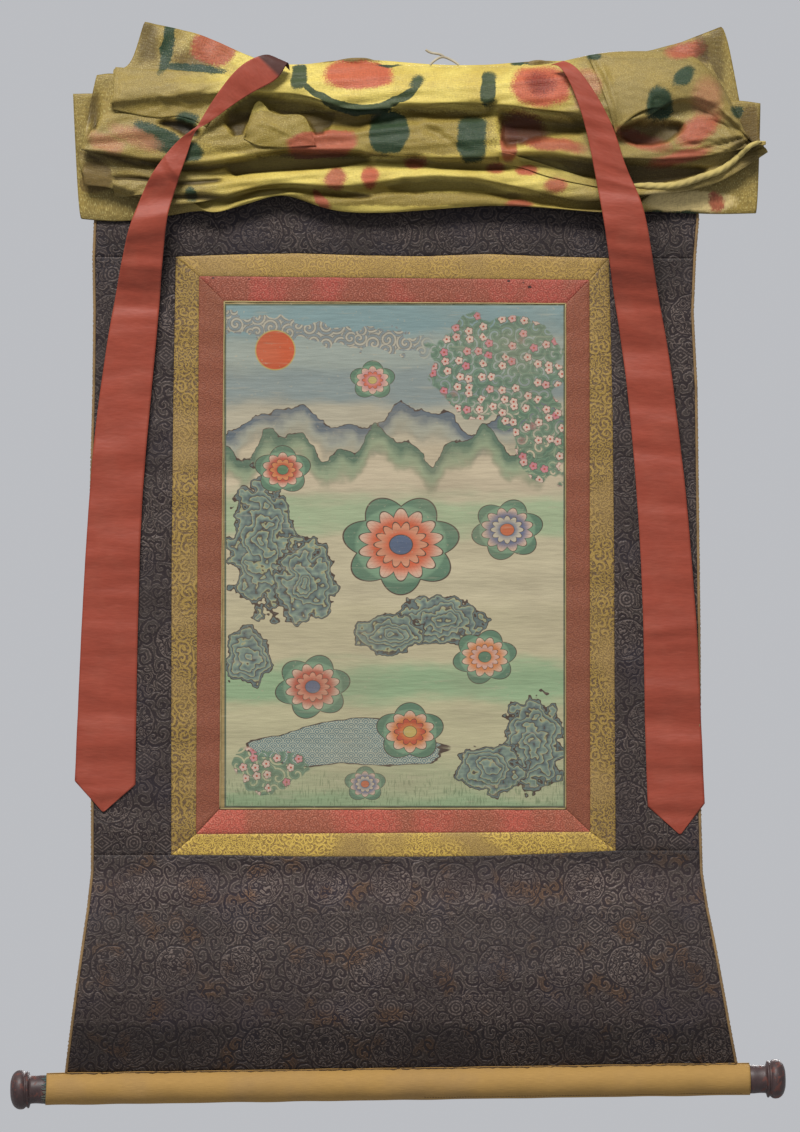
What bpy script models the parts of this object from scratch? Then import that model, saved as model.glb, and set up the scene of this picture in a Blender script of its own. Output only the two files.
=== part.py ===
"""A thangka scroll painting: a painted panel in brocade borders, with its gathered silk veil, two
ribbons, hanging tie and turned roller. Metres, +Z up, front towards -Y, top edge at the origin."""

import math

import bmesh
import bpy
import numpy as np
from mathutils import Matrix, Vector
from mathutils.bvhtree import BVHTree

MM = 0.001
NAME = "thangka_scroll"

# Cloth and seams
PANEL_THICKNESS = 2.0 * MM
VEIL_THICKNESS = 1.5 * MM
RIBBON_THICKNESS = 1.0 * MM
BINDING_WIDTH = 2.6 * MM
SEAM_GAP = 0.3 * MM
MITRE_INSET = 0.225 * MM

# Divisions along the borders' long and short sides, and in the brocade round them
ACROSS = 14
DOWN = 12
SIDE_COLUMNS = 4
TOP_ROWS = 5
BOTTOM_ROWS = 12

# Corners of each ring of cloth round the painting, in millimetres: (x, z), clockwise from the top left
PAINTING = {"top_left": (-228, -315), "top_right": (228, -318),
            "bottom_right": (228, -993), "bottom_left": (-234, -993)}
RED_RING = {"top_left": (-262, -281), "top_right": (260, -286),
            "bottom_right": (261, -1024), "bottom_left": (-266, -1027)}
YELLOW_RING = {"top_left": (-293, -255), "top_right": (286, -257),
               "bottom_right": (295, -1049), "bottom_left": (-299, -1055)}

# How far each side of the yellow ring bows away from its chord, in millimetres, at even steps along it
YELLOW_BOW = {"top": (0, 3.3, 5.0, 2.5, 1.5, 5.0, 2.0, 0),
              "bottom": (0, -1.0, -3.5, -4.5, -5.5, -5.5, -3.0, 0),
              "left": (0, -2.0, -2.5, -1.5, 0), "right": (0, 2.5, 2.5, 1.0, 0)}

# Outer edges of the brocade, in millimetres: height, then the left and the right edge there
OUTLINE = [
    # z, left, right
    (-26, -378, 398),
    (-110, -398, 404),
    (-205, -402, 406),
    (-255, -404, 402),
    (-330, -403, 399),
    (-430, -404, 404),
    (-590, -408, 406),
    (-760, -407, 408),
    (-1004, -406, 409),
    (-1078, -406, 411),
    (-1125, -411, 418),
    (-1170, -417, 427),
    (-1215, -423, 435),
    (-1281, -432, 447),
    (-1346, -441, 460),
]
TOP_HEM_Z = OUTLINE[0][0] * MM
FOOT_Z = OUTLINE[-1][0] * MM

# The flat cloth has faint waves below the veil, with their turn in radians a metre across and down
WAVE_DEPTH = 1.6 * MM
WAVE_ACROSS = 17
WAVE_SLANT = 5
WAVE_DOWN = 6.5
WAVE_START_Z = -220 * MM
WAVE_FULL_LENGTH = 150 * MM

# The cloth of the lower panel swings forward above the roller, then back to its top
BULGE_TOP_Z = -1050 * MM
BULGE_DEPTH = 20 * MM
BULGE_UNEVENNESS = 4 * MM
BULGE_TURN = 9
BULGE_LOWNESS = 1.6
BULGE_FULLNESS = 1.2

# The roller, its cloth sleeve and its two turned knobs
ROLLER_LEFT = (-514 * MM, -1369 * MM)
ROLLER_RIGHT = (522 * MM, -1354 * MM)
ROD_RADIUS = 19 * MM
SLEEVE_THICKNESS = 1.5 * MM
SLEEVE_RADIUS = ROD_RADIUS + SEAM_GAP + SLEEVE_THICKNESS
FOOT_CLEARANCE = 0.75 * MM
SLEEVE_LEFT_X = -466 * MM
SLEEVE_RIGHT_X = 474 * MM
NECK_INSIDE = 10 * MM
KNOB_PROFILE = [
    # radius and distance from the knob's outer end, in millimetres
    (0, 0),
    (12, 0.6),
    (19.5, 3),
    (24.5, 7.5),
    (26.2, 13),
    (25.6, 17.5),
    (23.4, 20),
    (23.4, 22),
    (24.8, 23.4),
    (23.6, 25),
    (19.0, 26.5),
    (18.4, 34),
    (19.0, 42),
]
TURNED_STEPS = 22

# The veil's section from its back hem, over the top, to its lowest roll. Each row is a fold that the
# cloth passes, with its outermost points left and right, its depth in the middle and at the two ends,
# and its height at each station along the veil, all in millimetres.
STATIONS = (0, .05, .11, .18, .25, .31, .38, .5, .6, .68, .74, .80, .86, .93, 1)
VEIL_FOLDS = [
    # fold, left, right, depth, end depth, heights at the stations
    ("back_hem", -330, 420, 2.3, 2.3,
     (-60, -62, -64, -66, -62, -60, -60, -58, -60, -62, -62, -64, -66, -64, -60)),
    ("back_ridge", -333, 436, 6, 6,
     (61, 53, 40, 14, 1, 3, 8, 0, 0, 5, 3, 8, 17, 35, 55)),
    ("saddle", -351, 459, -3, -3,
     (0, -8, -11, -16, -11, -6, -8, -9, -8, -6, 0, 5, 3, -12, -48)),
    ("front_ridge", -374, 472, -20, -14,
     (-3, -4, -5, -13, -6, 0, 1, -3, -3, 0, 10, 15, 14, 0, -108)),
    ("swag_face", -372, 476, -46, -38,
     (-30, -28, -27, -28, -26, -28, -34, -30, -30, -34, -34, -36, -24, -28, -110)),
    ("swag_edge", -378, 478, -46, -42,
     (-56, -51, -46, -43, -44, -46, -66, -56, -59, -67, -73, -90, -61, -56, -112)),
    ("swag_inner", -378, 478, -33, -33,
     (-42, -37, -32, -30, -30, -31, -50, -42, -42, -46, -52, -66, -46, -42, -109)),
    ("second_gap", -386, 482, -29, -31,
     (-66, -60, -58, -58, -64, -64, -76, -66, -72, -82, -94, -100, -88, -66, -113)),
    ("second_face", -404, 486, -45, -40,
     (-88, -86, -88, -92, -84, -82, -96, -90, -92, -104, -112, -116, -106, -90, -111)),
    ("second_edge", -417, 493, -42, -36,
     (-115, -127, -135, -134, -126, -119, -121, -127, -128, -122, -131, -128, -131, -122, -108)),
    ("second_inner", -394, 492, -28, -28,
     (-10, -14, -118, -118, -110, -103, -104, -112, -112, -106, -114, -112, -114, -106, -104)),
    ("third_gap", -414, 491, -23, -24,
     (-122, -136, -144, -144, -140, -136, -132, -134, -136, -136, -148, -152, -150, -128, -110)),
    ("third_face", -414, 494, -36, -26,
     (-142, -148, -156, -158, -152, -148, -148, -142, -148, -154, -166, -168, -162, -142, -112)),
    ("third_edge", -414, 496, -33, -24,
     (-161, -167, -186, -184, -166, -161, -166, -153, -160, -176, -184, -176, -171, -156, -116)),
    ("third_inner", -414, 490, -20, -18,
     (-146, -150, -168, -168, -152, -148, -152, -140, -146, -160, -168, -160, -156, -140, -104)),
    ("roll_gap", -424, 486, -15, -14,
     (-118, -130, -160, -186, -168, -163, -170, -158, -166, -182, -188, -184, -174, -126, -96)),
    ("roll_top", -429, 488, -26, -11,
     (-34, -36, -70, -190, -174, -168, -180, -176, -180, -188, -192, -190, -150, -52, -54)),
    ("roll_edge", -422, 484, -20, -7,
     (-188, -192, -194, -195, -186, -174, -196, -194, -188, -190, -194, -196, -194, -186, -184)),
    ("roll_tuck", -416, 480, -6.5, -4.2,
     (-190, -192, -188, -184, -174, -164, -184, -182, -176, -178, -184, -186, -186, -184, -184)),
    ("roll_hem", -412, 476, -2.6, -2.6,
     (-176, -178, -176, -172, -162, -152, -172, -170, -164, -166, -172, -174, -174, -172, -172)),
]
END_SHARE = (1, 1, 1, .2, 0, 0, 0, 0, 0, 0, 0, 0, .4, 1, 1)
VEIL_COLUMNS = 36
VEIL_STEPS_PER_FOLD = 2

# The ribbons: both edges in millimetres, and how far each row stands in front of what is behind it
LEFT_RIBBON = [
    # left x, left z, right x, right z, stand off
    (-152, 2, -140, -12, 2),
    (-166, 8, -143, -2, 8),
    (-181, 5, -154, -22, 9),
    (-201, -5, -178, -36, 7),
    (-223, -27, -201, -49, 5),
    (-245, -58, -226, -66, 5),
    (-258, -79, -246, -81, 8),
    (-265, -88, -260, -89, 10),
    (-283, -101, -268, -101, 8),
    (-301, -120, -276, -124, 5),
    (-325, -154, -287, -156, 5),
    (-342, -192, -298, -190, 7),
    (-356, -232, -305, -228, 22),
    (-368, -286, -312, -292, 14),
    (-382, -360, -318, -362, 9),
    (-400, -487, -330, -489, 7),
    (-409, -594, -338, -596, 6),
    (-416, -701, -342, -703, 4),
    (-422, -821, -345, -824, 1.6),
    (-428, -956, -347, -961, 0.9),
]
LEFT_RIBBON_TIP = (-391, -997, -389, -997, 1.2)
RIGHT_RIBBON = [
    # left x, left z, right x, right z, stand off
    (207, -4, 224, 1, 2),
    (216, -6, 240, -8, 4),
    (228, -22, 262, -38, 5),
    (240, -50, 276, -62, 4),
    (251, -84, 292, -96, 4),
    (261, -128, 306, -140, 5),
    (270, -176, 324, -180, 6),
    (279, -226, 336, -228, 22),
    (290, -299, 349, -302, 16),
    (303, -380, 365, -384, 10),
    (314, -473, 377, -477, 8),
    (322, -567, 388, -570, 7),
    (328, -660, 396, -662, 6),
    (332, -767, 404, -767, 5),
    (334, -874, 409, -874, 2),
    (338, -990, 414, -986, 0.9),
]
RIGHT_RIBBON_TIP = (380, -1027, 382, -1027, 1.2)
RIBBON_COLUMNS = 2
RIBBON_STEPS_PER_ROW = 2
RIBBON_TIP_ROWS = 2
PROBE_LIFT = 5 * MM
OPEN_AIR_DEPTH = -24 * MM
IN_FRONT = -1.0
ABOVE = 0.2

# The twisted hanging tie on the top edge: a loop that is sewn down at both feet, and its free end
TIE_RADIUS = 1.7 * MM
TIE_DEPTH = -20 * MM
TIE_FOOT_LIFT = 1.5 * MM
TIE_LOOP = [(47, 0), (50, 3.5), (57, 8.5), (64, 10.5), (71, 8.5), (80, 4), (85, 0)]
TIE_END = [(61, 14.2), (56, 15.6), (50, 16.6), (45, 18.4), (41, 21)]

COLOURS = {
    # material: colour, roughness, metallic
    "painted_cotton": ((0.36, 0.44, 0.36, 1), 0.8, 0.0),
    "red_brocade": ((0.46, 0.12, 0.10, 1), 0.6, 0.0),
    "yellow_brocade": ((0.62, 0.45, 0.10, 1), 0.55, 0.0),
    "dark_brocade": ((0.06, 0.04, 0.05, 1), 0.6, 0.0),
    "edge_braid": ((0.42, 0.31, 0.18, 1), 0.8, 0.0),
    "veil_silk": ((0.62, 0.52, 0.12, 1), 0.55, 0.0),
    "ribbon_silk": ((0.52, 0.13, 0.09, 1), 0.5, 0.0),
    "sleeve_cloth": ((0.45, 0.32, 0.13, 1), 0.8, 0.0),
    "lacquered_wood": ((0.07, 0.03, 0.03, 1), 0.4, 0.0),
    "twisted_cord": ((0.55, 0.47, 0.32, 1), 0.85, 0.0),
}


def material(name):
    """The Principled material of that name, made once."""
    found = bpy.data.materials.get(name)
    if found:
        return found
    made = bpy.data.materials.new(name)
    made.use_nodes = True
    colour, roughness, metallic = COLOURS[name]
    shader = made.node_tree.nodes["Principled BSDF"]
    shader.inputs["Base Color"].default_value = colour
    shader.inputs["Roughness"].default_value = roughness
    shader.inputs["Metallic"].default_value = metallic
    made.diffuse_color = colour
    return made


def add_object(name, mesh, material_name):
    """Puts a mesh or curve into the scroll's collection as one named piece."""
    piece = bpy.data.objects.new(name, mesh)
    mesh.materials.append(material(material_name))
    bpy.data.collections[NAME].objects.link(piece)
    return piece


def cloth(name, columns, rows, place, thickness, material_name):
    """A sheet: a grid whose point at (u, v), each from 0 to 1, goes to place(u, v), then thickened."""
    sheet = bmesh.new()
    bmesh.ops.create_grid(sheet, x_segments=columns, y_segments=rows, size=1.0)
    for vertex in sheet.verts:
        vertex.co = place((vertex.co.x + 1) / 2, (vertex.co.y + 1) / 2)
    mesh = bpy.data.meshes.new(name)
    sheet.to_mesh(mesh)
    sheet.free()
    mesh.shade_smooth()
    piece = add_object(name, mesh, material_name)
    solidify = piece.modifiers.new("thickness", "SOLIDIFY")
    solidify.thickness = thickness
    solidify.offset = 0.0
    return piece


def outer_x(z, side):
    """The brocade's left or right edge at a height, in metres."""
    table = np.array(OUTLINE[::-1]) * MM
    return float(np.interp(z, table[:, 0], table[:, 1 if side == "left" else 2]))


def roller_z(x):
    """The height of the roller's axis at a distance across."""
    share = (x - ROLLER_LEFT[0]) / (ROLLER_RIGHT[0] - ROLLER_LEFT[0])
    return ROLLER_LEFT[1] + share * (ROLLER_RIGHT[1] - ROLLER_LEFT[1])


def seat_z(x):
    """The height at which the lower panel meets the top of the sleeve."""
    return roller_z(x) + SLEEVE_RADIUS + FOOT_CLEARANCE


def hang_depth(x, z):
    """How the flat cloth really hangs: faint waves, and the forward swing above the roller."""
    waves = math.sin(WAVE_ACROSS * x + WAVE_SLANT * z) * math.sin(WAVE_DOWN * z + 1.0) * WAVE_DEPTH
    if z > BULGE_TOP_Z:
        return waves * min(1.0, max(0.0, (WAVE_START_Z - z) / WAVE_FULL_LENGTH))
    fall = min(1.0, (BULGE_TOP_Z - z) / (BULGE_TOP_Z - seat_z(x)))
    swing = math.sin(math.pi * fall ** BULGE_LOWNESS) ** BULGE_FULLNESS if fall < 1.0 else 0.0
    depth = BULGE_DEPTH + BULGE_UNEVENNESS * math.sin(BULGE_TURN * x + 0.6)
    return waves * (1 - fall) - depth * swing


def hung(x, z):
    """The point of the hanging cloth at a place across and a height."""
    return Vector((x, hang_depth(x, z), z))


def ring_side(ring, side, count):
    """The points of one side of a ring, left to right or top to bottom, in metres."""
    ends = {"top": ("top_left", "top_right"), "bottom": ("bottom_left", "bottom_right"),
            "left": ("top_left", "bottom_left"), "right": ("top_right", "bottom_right")}[side]
    start = np.array(ring[ends[0]]) * MM
    end = np.array(ring[ends[1]]) * MM
    share = np.linspace(0, 1, count + 1)[:, None]
    points = start + (end - start) * share
    if ring is YELLOW_RING:
        bow = np.array(YELLOW_BOW[side]) * MM
        offset = np.interp(share[:, 0], np.linspace(0, 1, len(bow)), bow)
        points[:, 1 if side in ("top", "bottom") else 0] += offset
    return points


def between(edge_a, edge_b, share):
    """The row of points that lies at a share of the way from one edge to the other."""
    return edge_a + (edge_b - edge_a) * share


def along(points, share):
    """The point at a share of the way along a row of evenly numbered points."""
    place = share * (len(points) - 1)
    first = min(int(place), len(points) - 2)
    return points[first] + (points[first + 1] - points[first]) * (place - first)


def strip(name, inner, outer, material_name):
    """A mitred border strip between two edges, drawn in by half a seam on every side."""
    width = float(np.linalg.norm(outer[len(outer) // 2] - inner[len(inner) // 2]))
    length = float(np.linalg.norm(outer[-1] - outer[0]))
    side_inset = SEAM_GAP / 2 / width
    end_inset = MITRE_INSET / length

    def place(u, v):
        row = between(inner, outer, side_inset + (1 - 2 * side_inset) * v)
        return hung(*along(row, end_inset + (1 - 2 * end_inset) * u))

    return cloth(name, len(inner) - 1, 1, place, PANEL_THICKNESS, material_name)


def make_painting():
    """The painted cotton panel in the middle."""
    upper = ring_side(PAINTING, "top", ACROSS)
    lower = ring_side(PAINTING, "bottom", ACROSS)
    inset = SEAM_GAP / 2 / (0.5 * (upper[-1][0] - upper[0][0] + upper[0][1] - lower[0][1]))

    def place(u, v):
        row = between(lower, upper, inset + (1 - 2 * inset) * v)
        return hung(*along(row, inset + (1 - 2 * inset) * u))

    return cloth("painting_panel", ACROSS, DOWN, place, PANEL_THICKNESS, "painted_cotton")


def make_borders():
    """The red and the yellow ring, four mitred strips each."""
    rings = [("red_border", PAINTING, RED_RING, "red_brocade"),
             ("yellow_border", RED_RING, YELLOW_RING, "yellow_brocade")]
    for name, inner, outer, material_name in rings:
        for side in ("top", "bottom", "left", "right"):
            count = ACROSS if side in ("top", "bottom") else DOWN
            strip(f"{name}_{side}", ring_side(inner, side, count), ring_side(outer, side, count),
                  material_name)


def seam_across(side):
    """The seam between a full-width brocade panel and what lies inside, from edge to edge."""
    middle = ring_side(YELLOW_RING, side, ACROSS)
    left = np.array([outer_x(middle[0][1], "left") + BINDING_WIDTH, middle[0][1]])
    right = np.array([outer_x(middle[-1][1], "right") - BINDING_WIDTH, middle[-1][1]])
    share = np.linspace(0, 1, SIDE_COLUMNS + 1)[:, None]
    left_part = left + (middle[0] - left) * share[:-1]
    right_part = middle[-1] + (right - middle[-1]) * share[1:]
    return np.vstack([left_part, middle, right_part])


def full_width_panel(name, upper, lower, rows):
    """A brocade panel between an upper and a lower edge, whose sides follow the outline."""
    columns = len(upper) - 1
    height = float(upper[0][1] - lower[0][1])
    inset = SEAM_GAP / 2 / height

    def place(u, v):
        row = between(lower, upper, inset + (1 - 2 * inset) * v)
        across, z = along(row, u)
        share = (across - row[0][0]) / (row[-1][0] - row[0][0])
        left = outer_x(z, "left") + BINDING_WIDTH + SEAM_GAP / 2
        right = outer_x(z, "right") - BINDING_WIDTH - SEAM_GAP / 2
        return hung(left + (right - left) * share, z)

    return cloth(name, columns, rows, place, PANEL_THICKNESS, "dark_brocade")


def level_edge(pattern, height):
    """An edge with the same points across as a seam, at heights that a function gives."""
    return np.array([(x, height(x)) for x in pattern[:, 0]])


def make_brocade():
    """The four panels of the outer brocade: top, two columns and the flared lower panel."""
    top_seam = seam_across("top")
    bottom_seam = seam_across("bottom")
    full_width_panel("brocade_top", level_edge(top_seam, lambda x: TOP_HEM_Z), top_seam, TOP_ROWS)
    bottom_left = outer_x(FOOT_Z, "left") + BINDING_WIDTH
    bottom_right = outer_x(FOOT_Z, "right") - BINDING_WIDTH
    share = (bottom_seam[:, 0] - bottom_seam[0][0]) / (bottom_seam[-1][0] - bottom_seam[0][0])
    foot = [(x, seat_z(x)) for x in bottom_left + (bottom_right - bottom_left) * share]
    full_width_panel("brocade_bottom", bottom_seam, np.array(foot), BOTTOM_ROWS)
    for side, sign in (("left", 1), ("right", -1)):
        inner = ring_side(YELLOW_RING, side, DOWN)
        outer = [(outer_x(z, side) + sign * BINDING_WIDTH, z) for z in inner[:, 1]]
        strip(f"brocade_{side}", np.array(outer), inner, "dark_brocade")


def make_bindings():
    """The narrow braid down each outer edge, from the top hem to the sleeve."""
    for side, sign in (("left", 1), ("right", -1)):
        corner = YELLOW_RING[f"top_{side}"][1] * MM
        low_corner = YELLOW_RING[f"bottom_{side}"][1] * MM
        foot_x = outer_x(FOOT_Z, side)
        heights = np.concatenate([
            np.linspace(TOP_HEM_Z, corner, TOP_ROWS, endpoint=False),
            np.linspace(corner, low_corner, DOWN, endpoint=False),
            np.linspace(low_corner, seat_z(foot_x), BOTTOM_ROWS + 1)])

        def place(u, v, side=side, sign=sign, heights=heights):
            z = float(along(heights[:, None], 1 - v)[0])
            inside = SEAM_GAP / 2 + (BINDING_WIDTH - SEAM_GAP) * (u if side == "left" else 1 - u)
            return hung(outer_x(z, side) + sign * inside, z)

        cloth(f"edge_binding_{side}", 1, len(heights) - 1, place, PANEL_THICKNESS, "edge_braid")


def on_axis(x):
    """The point of the roller's axis at a distance across."""
    return Vector((x, 0.0, roller_z(x)))


def make_roller():
    """The wooden rod, its cloth sleeve and the two turned knobs, all on one tilted axis."""
    tilt = math.atan2(ROLLER_RIGHT[1] - ROLLER_LEFT[1], ROLLER_RIGHT[0] - ROLLER_LEFT[0])
    turned_right = Matrix.Rotation(math.pi / 2 - tilt, 4, "Y")
    turned_left = Matrix.Rotation(-math.pi / 2 - tilt, 4, "Y")

    neck_left = SLEEVE_LEFT_X + NECK_INSIDE
    neck_right = SLEEVE_RIGHT_X - NECK_INSIDE
    rod = bmesh.new()
    bmesh.ops.create_cone(rod, cap_ends=True, segments=TURNED_STEPS, radius1=ROD_RADIUS,
                          radius2=ROD_RADIUS, depth=neck_right - neck_left - 2 * SEAM_GAP)
    mesh = bpy.data.meshes.new("roller_rod")
    rod.to_mesh(mesh)
    rod.free()
    mesh.shade_smooth()
    mesh.set_sharp_from_angle(angle=math.radians(40))
    piece = add_object("roller_rod", mesh, "lacquered_wood")
    piece.matrix_world = Matrix.Translation(on_axis((neck_left + neck_right) / 2)) @ turned_right

    sleeve = bmesh.new()
    bmesh.ops.create_cone(sleeve, cap_ends=False, segments=TURNED_STEPS, radius1=ROD_RADIUS + SEAM_GAP,
                          radius2=ROD_RADIUS + SEAM_GAP, depth=SLEEVE_RIGHT_X - SLEEVE_LEFT_X)
    mesh = bpy.data.meshes.new("roller_sleeve")
    sleeve.to_mesh(mesh)
    sleeve.free()
    mesh.shade_smooth()
    piece = add_object("roller_sleeve", mesh, "sleeve_cloth")
    piece.matrix_world = Matrix.Translation(on_axis((SLEEVE_LEFT_X + SLEEVE_RIGHT_X) / 2)) @ turned_right
    solidify = piece.modifiers.new("thickness", "SOLIDIFY")
    solidify.thickness = SLEEVE_THICKNESS
    solidify.offset = 1.0

    ends = [("left", ROLLER_LEFT[0], neck_left, turned_left), ("right", ROLLER_RIGHT[0], neck_right, turned_right)]
    for side, tip, neck_end, turn in ends:
        length = abs(tip - neck_end)
        rings = [(radius * MM, -down * MM) for radius, down in KNOB_PROFILE]
        rings += [(ROD_RADIUS, -length), (0, -length)]
        profile = bpy.data.meshes.new(f"roller_knob_{side}")
        profile.from_pydata([(r, 0, z) for r, z in rings],
                            [(i, i + 1) for i in range(len(rings) - 1)], [])
        knob = add_object(f"roller_knob_{side}", profile, "lacquered_wood")
        knob.matrix_world = Matrix.Translation(on_axis(tip)) @ turn
        screw = knob.modifiers.new("turned", "SCREW")
        screw.steps = TURNED_STEPS
        screw.render_steps = TURNED_STEPS
        screw.use_merge_vertices = True
        screw.merge_threshold = 0.00005


def spline_weights(share):
    """The four weights of a uniform cubic B-spline at a share of the way along a span."""
    return np.array([(1 - share) ** 3, 3 * share ** 3 - 6 * share ** 2 + 4,
                     -3 * share ** 3 + 3 * share ** 2 + 3 * share + 1, share ** 3]) / 6


def smooth(rows, place):
    """The point at a place, in rows, on a smooth curve that passes close to every row."""
    rows = np.asarray(rows, dtype=float)
    padded = np.vstack([2 * rows[0] - rows[1], rows, 2 * rows[-1] - rows[-2]])
    lifted = padded.copy()
    lifted[1:-1] = 1.5 * padded[1:-1] - 0.25 * (padded[:-2] + padded[2:])
    lifted[1] = rows[0]
    lifted[-2] = rows[-1]
    first = min(int(place), len(rows) - 2)
    index = np.clip(np.arange(first, first + 4), 0, len(lifted) - 1)
    return spline_weights(place - first) @ lifted[index]


def veil_rows():
    """Every fold of the veil at every station, as points (x, y, z) in metres."""
    rows = []
    for _, left, right, depth, end_depth, heights in VEIL_FOLDS:
        rows.append([(left + (right - left) * station, depth + (end_depth - depth) * share, height)
                     for station, share, height in zip(STATIONS, END_SHARE, heights)])
    return np.array(rows) * MM


def make_veil():
    """The silk veil, gathered up in folds over the top edge."""
    rows = veil_rows()
    last_fold = len(VEIL_FOLDS) - 1
    last_station = len(STATIONS) - 1

    def place(u, v):
        station = np.interp(u, STATIONS, range(len(STATIONS)))
        section = [smooth(row, min(station, last_station - 1e-9)) for row in rows]
        return Vector(smooth(section, min(v * last_fold, last_fold - 1e-9)))

    return cloth("veil", VEIL_COLUMNS, last_fold * VEIL_STEPS_PER_FOLD, place, VEIL_THICKNESS, "veil_silk")


def surface_behind(tree, x, z):
    """The depth of the foremost cloth behind a point in front of the scroll."""
    hit = tree.ray_cast(Vector((x, IN_FRONT, z)), Vector((0, 1, 0)))[0]
    if hit is not None:
        return hit.y
    if z < TOP_HEM_Z and outer_x(z, "left") < x < outer_x(z, "right"):
        return hang_depth(x, z) - PANEL_THICKNESS / 2
    return OPEN_AIR_DEPTH if z > TOP_HEM_Z else 0.0


def foremost_behind(tree, edges):
    """The depth of the foremost cloth behind a ribbon's whole row, and just above and below it."""
    left, right = edges
    probes = [left + (right - left) * part for part in np.linspace(-0.1, 1.1, 9)]
    return min(surface_behind(tree, x, z + lift) for x, z in probes for lift in (-PROBE_LIFT, 0, PROBE_LIFT))


def make_ribbon(name, table, tip, tree):
    """One hanging silk ribbon, ruled between its two edges and laid in front of the cloth behind it."""
    table = np.array(table, dtype=float) * MM
    tip = np.array(tip, dtype=float) * MM
    steps = np.linspace(0, len(table) - 1 - 1e-9, (len(table) - 1) * RIBBON_STEPS_PER_ROW + 1)
    rows = [smooth(table, step) for step in steps]
    rows += [between(table[-1], tip, row / RIBBON_TIP_ROWS) for row in range(1, RIBBON_TIP_ROWS + 1)]
    last = len(rows) - 1
    behind = [foremost_behind(tree, (row[0:2], row[2:4])) for row in rows]
    nearest = [min(behind[max(0, row - 2):row + 3]) for row in range(last + 1)]
    base = [float(np.mean(nearest[max(0, row - 1):row + 2])) for row in range(last + 1)]

    def place(u, v):
        row = round((1 - v) * last)
        left_x, left_z, right_x, right_z, stand_off = rows[row]
        return Vector((left_x + (right_x - left_x) * u, base[row] - stand_off, left_z + (right_z - left_z) * u))

    return cloth(name, RIBBON_COLUMNS, last, place, RIBBON_THICKNESS, "ribbon_silk")


def make_tie(name, route, tree):
    """A stretch of the twisted tie, set on the veil's top edge."""
    drop = tree.ray_cast(Vector((route[0][0] * MM, TIE_DEPTH, ABOVE)), Vector((0, 0, -1)))[0]
    foot = (drop.z if drop is not None else 0.0) + TIE_FOOT_LIFT
    curve = bpy.data.curves.new(name, "CURVE")
    curve.dimensions = "3D"
    curve.bevel_depth = TIE_RADIUS
    curve.bevel_resolution = 2
    curve.use_fill_caps = True
    spline = curve.splines.new("POLY")
    route = np.array(route, dtype=float) * MM
    last = len(route) - 1
    points = [smooth(route, min(place, last - 1e-9)) for place in np.linspace(0, last, 2 * last + 1)]
    spline.points.add(len(points) - 1)
    for point, (x, rise) in zip(spline.points, points):
        point.co = (x, TIE_DEPTH, foot + rise, 1)
    add_object(name, curve, "twisted_cord")


def main():
    """Builds the scroll."""
    for old in list(bpy.data.objects):
        bpy.data.objects.remove(old, do_unlink=True)
    bpy.context.scene.collection.children.link(bpy.data.collections.new(NAME))

    make_painting()
    make_borders()
    make_brocade()
    make_bindings()
    make_roller()
    veil = make_veil()
    bpy.context.view_layer.update()
    tree = BVHTree.FromObject(veil, bpy.context.evaluated_depsgraph_get())
    make_ribbon("ribbon_left", LEFT_RIBBON, LEFT_RIBBON_TIP, tree)
    make_ribbon("ribbon_right", RIGHT_RIBBON, RIGHT_RIBBON_TIP, tree)
    make_tie("hanging_tie_loop", TIE_LOOP, tree)
    make_tie("hanging_tie_end", TIE_END, tree)


main()
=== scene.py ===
"""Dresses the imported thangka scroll: its painted panel, brocade borders, gathered silk veil, ribbons,
hanging tie and turned roller. Everything is in metres, with the top edge of the scroll at the origin."""

from __future__ import annotations

import logging
import math
import random
from dataclasses import dataclass, field
from enum import Enum
from functools import reduce
from typing import Callable, Sequence

import bmesh
import bpy
import numpy as np
from mathutils import Matrix, Vector
from mathutils.bvhtree import BVHTree


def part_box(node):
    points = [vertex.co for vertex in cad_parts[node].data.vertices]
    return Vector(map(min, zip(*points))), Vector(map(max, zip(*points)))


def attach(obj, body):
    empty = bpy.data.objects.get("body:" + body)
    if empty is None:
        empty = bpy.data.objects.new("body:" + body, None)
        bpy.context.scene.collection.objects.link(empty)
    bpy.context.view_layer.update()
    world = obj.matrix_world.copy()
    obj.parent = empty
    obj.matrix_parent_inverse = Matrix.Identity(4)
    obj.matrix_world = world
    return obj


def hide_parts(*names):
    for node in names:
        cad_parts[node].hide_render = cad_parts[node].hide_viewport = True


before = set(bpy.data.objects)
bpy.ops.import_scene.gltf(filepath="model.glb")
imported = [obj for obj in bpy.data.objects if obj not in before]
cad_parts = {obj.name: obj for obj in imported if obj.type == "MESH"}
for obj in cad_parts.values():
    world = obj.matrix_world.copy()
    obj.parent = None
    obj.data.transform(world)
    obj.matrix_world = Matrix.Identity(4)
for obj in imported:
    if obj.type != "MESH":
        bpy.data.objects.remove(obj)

LOG = logging.getLogger("thangka")
MM = 0.001
ROOT = "root"
# How much brighter the studio shows a surface that faces forward. The finishes' colours are as they look there.
STUDIO_LIGHT = 1.6
# Far less than a material's coordinates can show, see Recipe.settle
NOTHING = 1e-9
Colour = tuple[float, float, float]
Place = Callable[[np.ndarray, np.ndarray], np.ndarray]


class Side(Enum):
    """A side of a border ring or of the whole scroll."""

    TOP = "top"
    BOTTOM = "bottom"
    LEFT = "left"
    RIGHT = "right"

    @property
    def level(self) -> bool:
        """Whether the side runs across."""
        return self in (Side.TOP, Side.BOTTOM)

    @property
    def ends(self) -> tuple[str, str]:
        """The two corners of the side, left to right or top to bottom."""
        return {Side.TOP: ("top_left", "top_right"), Side.BOTTOM: ("bottom_left", "bottom_right"),
                Side.LEFT: ("top_left", "bottom_left"), Side.RIGHT: ("top_right", "bottom_right")}[self]


class Source(Enum):
    """Where a material takes its coordinates from."""

    OBJECT = "Object"
    UV = "UV"


# Shader maths


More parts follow.
